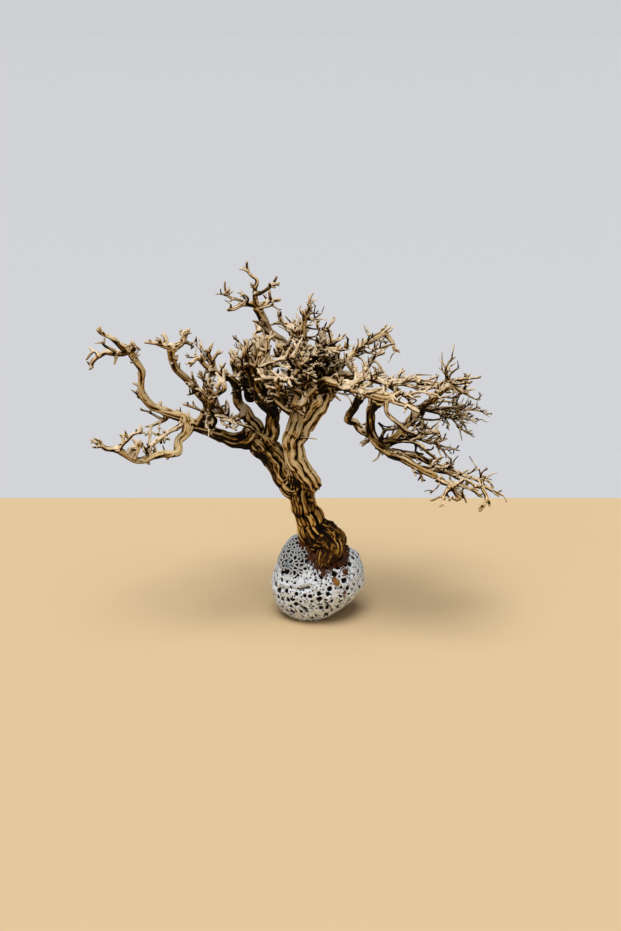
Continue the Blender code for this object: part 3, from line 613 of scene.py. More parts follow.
limbHabit = {
    "bark": 0.22,            # thicker all over, most on the slim limbs
    "wander": 0.30,          # sideways drift of a limb, as a share of its radius
    "wanderLength": 6.0,     # mm of limb for one drift
    "swelling": 0.13,        # knobs along a limb, as a share of its radius
    "swellingLength": 3.2,   # mm between knobs
    "collar": 0.42,          # widening where a limb leaves its parent
    "node": 0.16,            # swelling of the parent round a limb that leaves it
    "nodeLeast": 0.8,        # mm, radius of the thinnest limb that swells its parent
    "nodeReach": 1.6,        # how far that swelling goes, in radii of the limb
    "ringStep": 0.75,        # mm between rings on the limbs
    "trunkStep": 0.42,       # mm between rings on the trunk and the stout limbs
}


def smoothPoint(points, t):
    last = len(points) - 1
    i = min(int(t), last - 1)
    f = t - i
    before, start = points[max(i - 1, 0)], points[i]
    end, after = points[i + 1], points[min(i + 2, last)]
    return 0.5 * (2 * start + (end - before) * f
                  + (2 * before - 5 * start + 4 * end - after) * f ** 2
                  + (3 * start - before - 3 * end + after) * f ** 3)


def evenLine(points, spacing):
    # points about one spacing apart on the smooth curve through the given ones
    fine = [smoothPoint(points, i / 12) for i in range(12 * (len(points) - 1) + 1)]
    reach = [0.0]
    for a, b in zip(fine, fine[1:]):
        reach.append(reach[-1] + (b - a).length)
    count = max(3, round(reach[-1] / spacing))
    wanted = np.linspace(0, reach[-1], count + 1)
    return [Vector(p) for p in zip(*(np.interp(wanted, reach, [q[k] for q in fine]) for k in range(3)))]


tipShares = (0.35, 0.65, 0.88, 0.98)      # where the rings of a rounded end lie, in radii


def roundedTip(line, radii):
    # closes a limb with a blunt, rounded end one radius long
    tip, end, along = line[-1], radii[-1], (line[-1] - line[-2]).normalized()
    line += [tip + along * (share * end) for share in tipShares]
    radii += [end * math.sqrt(1 - share ** 2) for share in tipShares]


def makeLimb(name, limbs):
    # a limb's centre line and its radius at each point, in millimetres
    parent, startRadius, tipRadius, way = limbWays[name]
    points = [Vector(p) for p in way]
    parentRadius = 0.0
    if parent:
        line, radii = limbs[parent]
        nearest = min(range(len(line)), key=lambda i: (line[i] - points[0]).length)
        points.insert(0, line[nearest].copy())
        parentRadius = radii[nearest]
    step = limbHabit["trunkStep" if startRadius >= stoutRadius else "ringStep"]
    line = evenLine(points, step)
    seed = Vector((sum(map(ord, name)) * 1.7, 0, 0))
    total = len(line) - 1
    radii, travelled = [], 0.0
    for i, p in enumerate(line):
        share = i / total
        if i:
            travelled += (p - line[i - 1]).length
        radius = startRadius + (tipRadius - startRadius) * share
        radius *= 1 + limbHabit["bark"] / (1 + startRadius)
        if parent:
            beyond = max(0.0, travelled - 0.8 * parentRadius)
            radius *= 1 + limbHabit["collar"] * math.exp(-beyond / (1.1 * startRadius))
        radius *= 1 + limbHabit["swelling"] * noise.noise(seed + p / limbHabit["swellingLength"])
        radii.append(radius)
    for i, p in enumerate(line):
        drift = noise.noise_vector(seed + p / limbHabit["wanderLength"]) * limbHabit["wander"] * radii[i]
        line[i] = p + drift * min(1.0, i / 4)
    roundedTip(line, radii)
    return line, radii


def swellAt(limbs, name):
    # the parent thickens a little where this limb leaves it
    parent, startRadius = limbWays[name][:2]
    if not parent or startRadius < limbHabit["nodeLeast"]:
        return
    start, (line, radii) = limbs[name][0][0], limbs[parent]
    for i, p in enumerate(line[:-len(tipShares)]):
        near = math.exp(-((p - start).length / (limbHabit["nodeReach"] * startRadius)) ** 2)
        radii[i] += min(limbHabit["node"] * startRadius, 0.2 * radii[i]) * near


stoutRadius = 1.95       # mm; limbs at least this thick are fused with the trunk
limbs = {}
for name in limbWays:
    limbs[name] = makeLimb(name, limbs)
for name in limbWays:
    swellAt(limbs, name)
print(len(limbs), "limbs laid out")

# the ropes of old wood that the stout parts are made of: how many lie round a limb, and the
# turn in degrees that they make from one end to the other
ropes = {"trunkFoot": (11, -50), "trunkBend": (11, 60), "leftStrand": (8, 30)}
ropeHabit = {
    "seed": 21,
    "core": 0.81,        # radius of the core inside the ropes, as a share of the limb's
    "width": 1.24,       # a rope's radius, as a share of half its place on the ring
    "wander": 0.14,      # sideways drift, as a share of its place
    "swelling": 0.22,    # how much a rope thickens and thins
    "ending": 0.10,      # share of the limb over which a broken rope thins out
    "sunk": 0.72,        # how deep a rope lies in the limb, in its own radii
    "broken": 0.28,      # how many of them start late or stop early
}


def ringFrame(line):
    # two directions square to the line at each point, carried along without turning
    frames, side = [], Vector((1, 0, 0))
    for i in range(len(line)):
        along = (line[min(i + 1, len(line) - 1)] - line[max(i - 1, 0)]).normalized()
        side = (side - along * side.dot(along)).normalized()
        frames.append((side.copy(), along.cross(side)))
    return frames


def ropesRound(name):
    line, radii = limbs[name]
    count, twist = ropes[name]
    chance = random.Random(ropeHabit["seed"] + len(name))
    frames, last = ringFrame(line), len(line) - 1
    made = []
    for k in range(count):
        low, high = 0.0, 1.0
        if chance.random() < ropeHabit["broken"]:
            low, high = chance.choice(((chance.uniform(0.1, 0.5), 1.0), (0.0, chance.uniform(0.5, 0.9))))
        bold, shift = chance.uniform(0.78, 1.22), chance.uniform(-0.3, 0.3)
        seed = Vector((k * 3.1, len(name) * 1.3, 0))
        rope, sizes = [], []
        for i in range(int(low * last), int(high * last)):
            share = i / last
            place = math.pi * radii[i] / count
            drift = ropeHabit["wander"] * noise.noise(seed + Vector((0, 0, share * 7)))
            angle = 2 * math.pi * (k + shift + 2 * drift) / count + math.radians(twist) * share
            fade = ropeHabit["ending"]
            ending = min(1.0, (share - low) / fade + 0.25, (high - share) / fade + 0.25)
            size = place * ropeHabit["width"] * bold * ending
            size *= 1 + ropeHabit["swelling"] * noise.noise(seed + Vector((5, 0, share * 9)))
            side, up = frames[i]
            reach = radii[i] - ropeHabit["sunk"] * size
            rope.append(line[i] + (side * math.cos(angle) + up * math.sin(angle)) * reach)
            sizes.append(size)
        roundedTip(rope, sizes)
        made.append((rope, sizes))
    return made


def strandObject(name, strands):
    # loose lines of points that carry their radius, for the skin tree
    points, edges, thickness, girth, seeds, shares = [], [], [], [], [], []
    for k, (line, radii) in enumerate(strands):
        first = len(points)
        points += [p * mm for p in line]
        edges += [(first + i, first + i + 1) for i in range(len(line) - 1)]
        thickness += [r * mm for r in radii]
        girth += [float(np.mean(radii[:-len(tipShares)])) * mm] * len(line)
        seeds += [k * 0.618] * len(line)
        shares += [i / len(line) for i in range(len(line))]
    mesh = lineMesh(name, points, edges)
    for label, values in (("thickness", thickness), ("girth", girth), ("seed", seeds), ("share", shares)):
        mesh.attributes.new(label, "FLOAT", "POINT").data.foreach_set("value", values)
    return newObject(name, mesh)


def storeHollow(geometry, reach, depth):
    # keeps how far a point lies below (up to 1) or above (down to -1) the surface round it
    tree = geometry.id_data
    place = positionIn(tree)
    below = calcVector("DOT_PRODUCT", calcVector("SUBTRACT", blurred(place, reach), place),
                       outOf(tree, "GeometryNodeInputNormal"))
    return storeField(geometry, "hollow", calc("DIVIDE", below, depth))


def buildSkinTree():
    # lines with a radius become closed tubes with ribs, cracks and fibres that run along them
    tree, given, result = newTree(
        "limbSkin", "GeometryNodeTree",
        {"Lines": "Geometry", "Sides": 12, "Rib Width": 0.0026, "Rib Length": 0.02, "Rib Depth": 0.2,
         "Twist": 40.0, "Lumps": 0.1, "Fibres": 0.04, "Finish": "Material"}, ["Skin"])
    along = addNode(tree, "GeometryNodeSplineParameter").outputs
    place = positionIn(tree)
    curve = outOf(tree, "GeometryNodeMeshToCurve", {"Mesh": given["Lines"]})
    curve, length = capture(curve, along["Length"], "FLOAT")
    curve, centre = capture(curve, place, "VECTOR")
    ring = outOf(tree, "GeometryNodeCurvePrimitiveCircle", {"Resolution": given["Sides"], "Radius": 1.0})
    ring, turn = capture(ring, along["Factor"], "FLOAT")
    tube = outOf(tree, "GeometryNodeCurveToMesh", {
        "Curve": curve, "Profile Curve": ring, "Scale": readField(tree, "thickness"), "Fill Caps": True})
    angle = plus(times(turn, 2 * math.pi), times(length, given["Twist"]))
    cosine, sine = calc("COSINE", angle), calc("SINE", angle)
    girth, seed = readField(tree, "girth"), readField(tree, "seed")
    ribs = calc("DIVIDE", girth, given["Rib Width"])
    ribPlace = joinVector(times(cosine, ribs), times(sine, ribs),
                          plus(calc("DIVIDE", length, given["Rib Length"]), times(seed, 7.3)))
    warp = calcVector("SUBTRACT", cloudy(ribPlace, 0.9, 1.0, output="Color"), (0.5, 0.5, 0.5))
    cells = cellEdges(calcVector("ADD", ribPlace, calcVector("SCALE", warp, 0.9)), 1.0, 0.9)
    crack = ease(cells, 0.0, 0.16, 1.0, 0.0)
    swell = ease(cells, 0.02, 0.42, -1.0, 0.0)
    ribShape = times(minus(swell, times(crack, 0.55)), given["Rib Depth"])
    lumpShape = times(minus(cloudy(place, 190.0), 0.5), times(given["Lumps"], 2.0))
    fine = times(ribs, 4.5)
    fibrePlace = joinVector(times(cosine, fine), times(sine, fine), times(plus(length, seed), 260.0))
    fibreShape = times(minus(cloudy(fibrePlace, 1.0, 1.0), 0.5), times(given["Fibres"], 2.0))
    skin = moveBy(tube, calcVector("SUBTRACT", place, centre), plus(ribShape, lumpShape, fibreShape))
    grain = joinVector(times(cosine, girth), times(sine, girth), plus(length, seed))
    skin = storeField(skin, "grain", grain, "FLOAT_VECTOR")
    skin = storeField(skin, "crack", crack)
    finish(storeHollow(skin, 2, 0.00022), given, result["Skin"])
    return tree


def buildFuseTree():
    # carries the grain and the cracks from loose tubes over to the fused skin
    tree, given, result = newTree("carryGrain", "GeometryNodeTree",
                                  {"Skin": "Geometry", "Tubes": "Object", "Finish": "Material"}, ["Skin"])
    source, skin = meshOf(given["Tubes"]), given["Skin"]
    for name, kind in (("grain", "FLOAT_VECTOR"), ("crack", "FLOAT")):
        nearest = outOf(tree, "GeometryNodeSampleNearestSurface",
                        {"Mesh": source, "Value": readField(tree, name, kind)}, {"data_type": kind})
        skin = storeField(skin, name, nearest, kind)
    finish(storeHollow(skin, 8, 0.00032), given, result["Skin"])
    return tree


skinTree = buildSkinTree()
fuseTree = buildFuseTree()

trunkSkin = {"Sides": 90, "Rib Width": 0.0023, "Rib Length": 0.026, "Rib Depth": 0.20, "Twist": 38.0,
             "Lumps": 0.10, "Fibres": 0.035}
footSkin = {"Sides": 110, "Rib Width": 0.0013, "Rib Length": 0.009, "Rib Depth": 0.075, "Twist": 110.0,
            "Lumps": 0.26, "Fibres": 0.03}
ropeSkin = {"Sides": 24, "Rib Width": 0.0011, "Rib Length": 0.012, "Rib Depth": 0.20, "Twist": 30.0,
            "Lumps": 0.10, "Fibres": 0.03}
limbSkin = {"Sides": 14, "Rib Width": 0.0011, "Rib Length": 0.012, "Rib Depth": 0.16, "Twist": 60.0,
            "Lumps": 0.16, "Fibres": 0.03}
twigSkin = {"Sides": 7, "Rib Width": 0.0009, "Rib Length": 0.006, "Rib Depth": 0.05, "Twist": 0.0,
            "Lumps": 0.2, "Fibres": 0.0}
fusedVoxel = {"trunkWood": 0.36 * mm, "stoutWood": 0.42 * mm}


def dress(name, strands, skin, look):
    # strands become tubes that wear a skin and a look
    return applyTree(strandObject(name, strands), skinTree, {**skin, "Finish": look})


def fuse(name, groups):
    # one skin over all the tubes that touch
    parts = [dress(name + "Tubes", strands, skin, trunkLook) for strands, skin in groups]
    work = bmesh.new()
    for part in parts:
        work.from_mesh(part.data)
    joined = bpy.data.meshes.new(name)
    work.to_mesh(joined)
    work.free()
    source = newObject(name + "Source", joined)
    fused = newObject(name, joined.copy())
    step = fused.modifiers.new("fuse", "REMESH")
    step.mode = "VOXEL"
    step.voxel_size = fusedVoxel[name]
    applyAll(fused)
    applyTree(fused, fuseTree, {"Tubes": source, "Finish": trunkLook})
    for part in parts + [source]:
        bpy.data.objects.remove(part)
    return fused


def buildTrunk():
    cores, strands = [], []
    for name in ropes:
        line, radii = limbs[name]
        cores.append((line, [r * ropeHabit["core"] for r in radii]))
        strands += ropesRound(name)
    cores += [limbs[name] for name in ("trunkNeck", "trunkKnot", "trunkCrown")]
    toes = [limbs[name] for name in ("toeMiddle", "toeRight")]
    return fuse("trunkWood", ((cores, trunkSkin), (strands, ropeSkin), (toes, footSkin)))


def buildStoutWood():
    stout = [limbs[name] for name in limbs
             if limbWays[name][1] >= stoutRadius and not name.startswith(("trunk", "toe", "leftStrand"))]
    return fuse("stoutWood", ((stout, trunkSkin),))


def buildLimbWood():
    slim = [limbs[name] for name in limbs if limbWays[name][1] < stoutRadius]
    return dress("limbWood", slim, limbSkin, limbLook)


trunkWood = buildTrunk()
stoutWood = buildStoutWood()
limbWood = buildLimbWood()
print("trunk", len(trunkWood.data.polygons), "stout", len(stoutWood.data.polygons),
      "faces, limbs", len(limbWood.data.polygons))


nestHabit = {
    "seed": 11,
    "count": 72,
    "centre": (-11, 0, 118),     # mm
    "reach": (29, 21, 23),       # mm, half the size of the nest
    "length": (8, 17),           # mm
    "radius": (0.80, 1.45),      # mm
    "taper": 0.3,                # how much it thins to its end
    "flare": 0.5,                # widening where it starts
    "knobs": 0.16,               # swellings along it, as a share of its radius
    "upward": 5,                 # mm, how far the nest's centre is taken to lie lower for headings
    "outward": 0.55,             # how much it heads out of the nest
    "anywhere": 0.8,             # how much it heads anywhere else
    "bend": 0.55,                # how crooked it is
    "lift": 0.12,                # how much each bend turns upwards
    "startDepth": 0.85,          # how far out it may start, 1 being the nest's edge
    "endDepth": 1.05,            # how far out it may end
    "lowestStart": 98,           # mm above the floor
    "lowestEnd": 96,
}
twigStep = 0.9       # mm between rings
nestStarts = ("trunkCrown", "inner", "leader", "spike", "block", "shoulder", "post", "sprig", "stout", "fork",
              "bar", "rear", "front", "cross", "hookedBase", "knuckle")


def anyWay(chance):
    return Vector([chance.uniform(-1, 1) for _ in range(3)])


def wayOut(start, heading, length, pieces, bend, lift, chance):
    # a crooked way of a few points
    points, p, h = [start.copy()], start.copy(), heading.normalized()
    for _ in range(pieces):
        h = (h + anyWay(chance) * bend + Vector((0, 0, lift))).normalized()
        p = p + h * (length / pieces)
        points.append(p)
    return points


def growNest():
    chance = random.Random(nestHabit["seed"])
    centre, reach, edge = Vector(nestHabit["centre"]), nestHabit["reach"], nestHabit["startDepth"]

    def depth(p):
        return math.sqrt(sum(((p[k] - centre[k]) / reach[k]) ** 2 for k in range(3)))

    starts = [p for name, (line, radii) in limbs.items() if name.startswith(nestStarts)
              for p in line[:-len(tipShares)] if depth(p) < edge and p.z > nestHabit["lowestStart"]]
    made = 0
    while made < nestHabit["count"]:
        start = chance.choice(starts)
        outward = start - centre + Vector((0, 0, nestHabit["upward"]))
        heading = outward.normalized() * nestHabit["outward"] + anyWay(chance) * nestHabit["anywhere"]
        length = chance.uniform(*nestHabit["length"])
        points = wayOut(start, heading, length, 4, nestHabit["bend"], nestHabit["lift"], chance)
        radius = chance.uniform(*nestHabit["radius"])
        if depth(points[-1]) > nestHabit["endDepth"] or points[-1].z < nestHabit["lowestEnd"]:
            continue
        line = evenLine(points, twigStep)
        total = len(line) - 1
        radii = [radius * (1 - nestHabit["taper"] * i / total)
                 * (1 + nestHabit["flare"] * math.exp(-i / 2.5))
                 * (1 + nestHabit["knobs"] * math.sin(i * 1.3 + made)) for i in range(total + 1)]
        roundedTip(line, radii)
        name = "nest%02d" % made
        limbs[name] = (line, radii)
        starts += [p for p in line[6:-len(tipShares):3] if depth(p) < edge]
        made += 1


# how each part of the root is set with short twigs
twigKinds = {
    # twigs on each mm of limb, length and radius in mm, how far they lean out and along, and forks
    "coral": {"each": 0.40, "length": (3.0, 8.0), "radius": (0.58, 1.05), "out": 0.8, "along": (0.3, 1.1),
              "lift": 0.32, "bend": 0.24, "forks": 0.52, "taper": 0.30},
    "sweep": {"each": 0.38, "length": (3.0, 8.5), "radius": (0.45, 0.88), "out": 0.60, "along": (0.5, 1.2),
              "lift": 0.05, "bend": 0.38, "forks": 0.55, "taper": 0.30},
    "spur": {"each": 0.24, "length": (1.5, 4.5), "radius": (0.45, 0.85), "out": 1.0, "along": (0.3, 0.9),
             "lift": 0.10, "bend": 0.40, "forks": 0.35, "taper": 0.30},
    "bare": {"each": 0.05, "length": (1.0, 2.0), "radius": (0.40, 0.60), "out": 1.0, "along": (0.2, 0.8),
             "lift": 0.0, "bend": 0.3, "forks": 0.0, "taper": 0.3},
}
twigHabit = {
    "seed": 53,
    "piece": 2.2,                # mm of twig for each bend
    "lift": 0.06,                # how much each bend turns upwards
    "knobs": 0.14,               # swellings along it, as a share of its radius
    "flare": 0.45,               # widening where it starts
    "forkLength": (0.35, 0.65),  # as a share of the twig's
    "forkRadius": 0.88,
    "most": 0.8,                 # its greatest radius, as a share of the limb's
    "past": 1.5,                 # mm that it may reach past the frame's box
}
twigKindOf = (
    ("bare", ("trunk", "toe", "leftStrand", "leftLimb", "elbow", "greyRiser", "droopDrop", "arch", "hang",
              "rearStrand", "upperWire", "fineRise")),
    ("spur", ("leftHook", "hookS", "hookF", "hookB", "hookU", "hookL", "low", "antler", "leader",
              "longTwig")),
    ("sweep", ("droop", "mid", "fan", "golden", "upperRight", "lowerRight", "crossB", "crossC", "crossE",
               "canopy", "hooked", "rightLimb")),
)


def twigKind(name):
    for kind, starts in twigKindOf:
        if name.startswith(starts):
            return kind
    return "coral"


def growTwig(start, heading, length, radius, kind, chance, found, depth=0):
    # one crooked twig with a blunt end, and shorter forks on it
    habit = twigKinds[kind]
    pieces = max(2, round(length / twigHabit["piece"]))
    points = wayOut(start, heading, length, pieces, habit["bend"], twigHabit["lift"], chance)
    line = evenLine(points, twigStep)
    total = len(line) - 1
    knobs = chance.uniform(0, 6)
    radii = [radius * (1 - habit["taper"] * i / total)
             * (1 + twigHabit["knobs"] * math.sin(2.1 * i + knobs))
             * (1 + twigHabit["flare"] * math.exp(-i / 1.3)) for i in range(total + 1)]
    roundedTip(line, radii)
    found.append((kind, line, radii))
    if depth < 2 and total > 2 and chance.random() < habit["forks"] * (1 - 0.4 * depth):
        for _ in range(chance.choice((1, 1, 2))):
            at = chance.randint(max(1, total // 2), total - 1)
            along = (line[at + 1] - line[at]).normalized()
            side = anyWay(chance).cross(along).normalized()
            turned = along * 0.8 + side * habit["out"] * 0.8 + Vector((0, 0, 0.1))
            growTwig(line[at].copy(), turned, length * chance.uniform(*twigHabit["forkLength"]),
                     radii[at] * twigHabit["forkRadius"], kind, chance, found, depth + 1)


def growTwigs():
    chance = random.Random(twigHabit["seed"])
    found = []
    for name, (line, radii) in limbs.items():
        kind = twigKind(name)
        habit = twigKinds[kind]
        body = len(line) - len(tipShares)
        travelled = sum((line[i + 1] - line[i]).length for i in range(body - 1))
        for _ in range(round(habit["each"] * travelled)):
            share = 0.15 + 0.85 * chance.random() ** 0.75
            at = max(1, min(body - 1, int(share * body)))
            along = (line[at + 1] - line[at - 1]).normalized()
            side = anyWay(chance)
            side = (side - along * side.dot(along)).normalized()
            heading = (along * chance.uniform(*habit["along"]) + side * habit["out"]
                       + Vector((0, 0, habit["lift"])))
            length = chance.uniform(*habit["length"]) * (1.2 - 0.4 * share)
            radius = min(chance.uniform(*habit["radius"]), twigHabit["most"] * radii[at])
            growTwig(line[at].copy(), heading, length, radius, kind, chance, found)
    low = [c / mm - twigHabit["past"] for c in cadLow]
    high = [c / mm + twigHabit["past"] for c in cadHigh]
    return [strand for strand in found
            if all(low[k] < p[k] < high[k] for p in strand[1] for k in range(3))]


growNest()
nestLimbs = [limbs[name] for name in limbs if name.startswith("nest")]
nestWood = dress("nestWood", nestLimbs, limbSkin, limbLook)
twigs = growTwigs()


def buildTwigs(name, chosen):
    strands = [(line, radii) for _, line, radii in chosen]
    return dress(name, strands, twigSkin, twigLook)


coral = [twig for twig in twigs if twig[0] == "coral"]
coralLeft = buildTwigs("crownStubsLeft", [t for t in coral if t[1][0].x < -12])
coralRight = buildTwigs("crownStubsRight", [t for t in coral if t[1][0].x >= -12])
sideTwigs = buildTwigs("sideTwigs", [twig for twig in twigs if twig[0] != "coral"])
twigPieces = [coralLeft, coralRight, sideTwigs]
print(len(twigs), "twiglets,", [len(piece.data.polygons) for piece in twigPieces], "faces")


skyHabit = {
    "cell": 2.0,         # mm, size of one cell of the shade grid
    "step": 2.4,         # mm between looks along a ray
    "looks": 12,
    "density": 0.30,     # how strongly wood in the way shades
    "rings": ((50, 6), (12, 6)),     # besides the ray straight up: degrees of climb, and how many
    "sideShare": 0.35,   # how much a level ray counts
    "gain": 2.4,         # brightens the whole, so that an open twig reaches 1
}


def shadeGrid():
    # how much wood stands in each cell of a grid round the root
    size = skyHabit["cell"]
    low = np.array([c / mm - 4 for c in cadLow])
    high = np.array([c / mm + 4 for c in cadHigh])
    shape = np.ceil((high - low) / size).astype(int) + 1
    grid = np.zeros(shape)
    for line, radii in list(limbs.values()) + [(line, radii) for _, line, radii in twigs]:
        places = np.array([tuple(p) for p in line])
        gaps = np.linalg.norm(np.diff(places, axis=0), axis=1)
        weight = 2 * np.array(radii[:-1]) * gaps / size ** 2
        cells = np.clip(((places[:-1] - low) / size).round().astype(int), 0, shape - 1)
        np.add.at(grid, tuple(cells.T), weight)
    for axis in range(3):
        grid = (np.roll(grid, 1, axis) + 2 * grid + np.roll(grid, -1, axis)) / 4
    return grid, low, size


def storeSky(item, grid, low, size):
    # each vertex keeps how open it lies to the light from above and around, from 0 to 1; the wood's colour
    # uses it to paint in light and shade
    mesh = item.data
    count = len(mesh.vertices)
    places, normals = np.empty(count * 3), np.empty(count * 3)
    mesh.vertices.foreach_get("co", places)
    mesh.vertex_normals.foreach_get("vector", normals)
    places, normals = places.reshape(-1, 3) / mm, normals.reshape(-1, 3)
    rays = [(0, 0, 1)]
    for ring, (climb, number) in enumerate(skyHabit["rings"]):
        for k in range(number):
            turn, up = 2 * math.pi * (k + 0.5 * ring) / number, math.radians(climb)
            rays.append((math.cos(up) * math.cos(turn), math.cos(up) * math.sin(turn), math.sin(up)))
    sky, most = np.zeros(count), 0.0
    for ray in rays:
        facing = np.clip(normals @ np.array(ray) + 0.25, 0, 1)
        strength = skyHabit["sideShare"] + (1 - skyHabit["sideShare"]) * max(ray[2], 0)
        blocked = np.zeros(count)
        for look in range(1, skyHabit["looks"]):
            where = places + np.array(ray) * (skyHabit["step"] * look + 1.0)
            cells = ((where - low) / size).round().astype(int)
            inside = np.all((cells >= 0) & (cells < grid.shape), axis=1)
            cells = np.clip(cells, 0, np.array(grid.shape) - 1)
            blocked += grid[tuple(cells.T)] * inside
        sky += strength * facing * np.exp(-skyHabit["density"] * blocked)
        most += strength
    values = np.clip(sky / most * skyHabit["gain"], 0, 1)
    mesh.attributes.new("sky", "FLOAT", "POINT").data.foreach_set("value", values)


grid, gridLow, gridCell = shadeGrid()
woodPieces = [trunkWood, stoutWood, limbWood, nestWood] + twigPieces
for piece in woodPieces:
    storeSky(piece, grid, gridLow, gridCell)
print("light on the wood worked out")


pumice = {
    "voxel": 0.275,               # mm, size of the stone's finest facets
    # pores: least gap in mm, how many on a square mm, radius in mm, depth as a share of the radius
    "big": {"gap": 2.4, "crowd": 0.30, "size": (0.55, 1.60), "seed": 3, "depth": 1.7},
    "small": {"gap": 1.0, "crowd": 0.34, "size": (0.22, 0.50), "seed": 8, "depth": 1.5},
    "combCell": 2.0,              # mm, cells of the sponge-like patch high on the left
    "combCentre": (-9.5, -5.5, 31.5),
    "combReach": 12.0,            # mm
    "combDepth": 1.3,             # mm
    "lumps": 0.62,                # mm
    "creaseDepth": 0.9,           # mm
}
# folds in the stone's skin, each a line of points in millimetres
creases = (
    [(-17, -7, 16), (-13, -11, 17), (-9, -14, 18), (-5, -16, 19), (-2, -17, 20)],
    [(2, -17, 18), (4, -18, 16), (6, -17, 13), (8, -16, 10), (10, -14, 7)],
    [(-1, -17, 15), (2, -17, 12), (5, -16, 9), (7, -14, 5)],
    [(-8, -14, 13), (-5, -16, 10), (-2, -15, 7)],
    [(12, -15, 19), (14, -14, 15), (17, -10, 13)],
    [(-19, 4, 20), (-15, 12, 16), (-8, 17, 14), (2, 18, 16)],
    [(17, 4, 24), (12, 12, 20), (8, 16, 13)],
)


def copyNode(node, name):
    # a welded copy of a node's loose triangles
    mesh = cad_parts[node].data.copy()
    work = bmesh.new()
    work.from_mesh(mesh)
    bmesh.ops.remove_doubles(work, verts=work.verts, dist=0.01 * mm)
    work.to_mesh(mesh)
    work.free()
    return newObject(name, mesh)


def creaseObject(stone):
    # the folds as fine lines that lie on the stone's surface
    points, edges = [], []
    for way in creases:
        first = len(points)
        for p in evenLine([Vector(q) for q in way], 1.0):
            points.append(stone.closest_point_on_mesh(p * mm)[1])
        edges += [(i, i + 1) for i in range(first, len(points) - 1)]
    return newObject("folds", lineMesh("folds", points, edges))


def scatterPores(stone, where, kind):
    # how deep each place of the stone lies in a round pore (0 to 1), and the size of that pore
    tree, seed = stone.id_data, kind["seed"]
    points = outOf(tree, "GeometryNodeDistributePointsOnFaces", {
        "Mesh": stone, "Distance Min": kind["gap"] * mm, "Density Max": kind["crowd"] / mm ** 2,
        "Density Factor": where, "Seed": seed}, {"distribute_method": "POISSON"})
    low, high = kind["size"]
    wide = outOf(tree, "FunctionNodeRandomValue", {2: low * mm, 3: high * mm, "Seed": seed + 5},
                 {"data_type": "FLOAT"}, 1)
    points = storeField(points, "wide", wide)
    near = outOf(tree, "GeometryNodeSampleNearest", {"Geometry": points}, {"domain": "POINT"})
    place = positionIn(tree)
    centre, radius = [
        outOf(tree, "GeometryNodeSampleIndex", {"Geometry": points, "Value": field, "Index": near},
              {"data_type": dataKind, "domain": "POINT"})
        for dataKind, field in (("FLOAT_VECTOR", place), ("FLOAT", readField(tree, "wide")))]
    ratio = calc("DIVIDE", calcVector("DISTANCE", place, centre), radius)
    return ease(plus(ratio, swing(cloudy(place, 900.0), 0.45)), 0.62, 1.05, 1.0, 0.0), radius


def buildPoreTree():
    tree, given, result = newTree(
        "pumicePores", "GeometryNodeTree",
        {"Stone": "Geometry", "Creases": "Object", "Comb Depth": 0.0013, "Lumps": 0.001,
         "Crease Depth": 0.0009, "Finish": "Material"}, ["Stone"])
    place = positionIn(tree)
    cloud = cloudy(place, 120.0)
    # the sponge-like patch
    combCentre = tuple(c * mm for c in pumice["combCentre"])
    far = plus(calcVector("DISTANCE", place, combCentre), swing(cloud, 0.007))
    comb = ease(far, pumice["combReach"] * 0.7 * mm, pumice["combReach"] * mm, 1.0, 0.0)
    cellOpen = times(ease(cellEdges(place, 1.0 / (pumice["combCell"] * mm)), 0.10, 0.24), comb)
    # single pores
    plain = minus(1.0, comb)
    crowd = times(plain, ease(cloud, 0.36, 0.60, 0.45, 1.0))
    big, bigSize = scatterPores(given["Stone"], crowd, pumice["big"])
    small, smallSize = scatterPores(given["Stone"], plain, pumice["small"])
    # folds
    near = outOf(tree, "GeometryNodeProximity", {0: meshOf(given["Creases"])}, {"target_element": "EDGES"},
                 "Distance")
    near = plus(near, calc("MULTIPLY_ADD", cloud, 0.004, -0.0014))
    crease = ease(near, 0.0002, 0.0011, 1.0, 0.0)
    crest = times(ease(near, 0.0010, 0.0022), ease(near, 0.0024, 0.0045, 1.0, 0.0))
    # how deep each place lies, with the skin's own rolling roughness
    rough = calc("ABSOLUTE", minus(cloudy(place, 120.0, 5.0, 0.60), 0.5))
    depth = times(big, times(bigSize, pumice["big"]["depth"]))
    depth = calc("MAXIMUM", depth, times(small, times(smallSize, pumice["small"]["depth"])))
    depth = calc("MAXIMUM", depth, times(cellOpen, given["Comb Depth"]))
    depth = minus(plus(depth, times(crease, given["Crease Depth"])), times(crest, 0.0005))
    depth = plus(depth, times(rough, times(given["Lumps"], 2.6)))
    foot = ease(splitVector(place)["Z"], 0.0003, 0.0016)
    # the fields are kept before the surface moves away from them
    pore = calc("MAXIMUM", calc("MAXIMUM", big, small), cellOpen)
    kept = given["Stone"]
    for name, field in (("pore", pore), ("crease", crease), ("comb", comb)):
        kept = storeField(kept, name, field)
    even = blurred(outOf(tree, "GeometryNodeInputNormal"), 6)
    finish(storeHollow(moveBy(kept, even, times(depth, -1.0, foot)), 6, 0.00022), given, result["Stone"])
    return tree


def refine(item, voxel, rounds=0):
    step = item.modifiers.new("refine", "REMESH")
    step.mode = "VOXEL"
    step.voxel_size = voxel * mm
    if rounds:
        soften = item.modifiers.new("soften", "SMOOTH")
        soften.factor, soften.iterations = 0.5, rounds
    return applyAll(item)


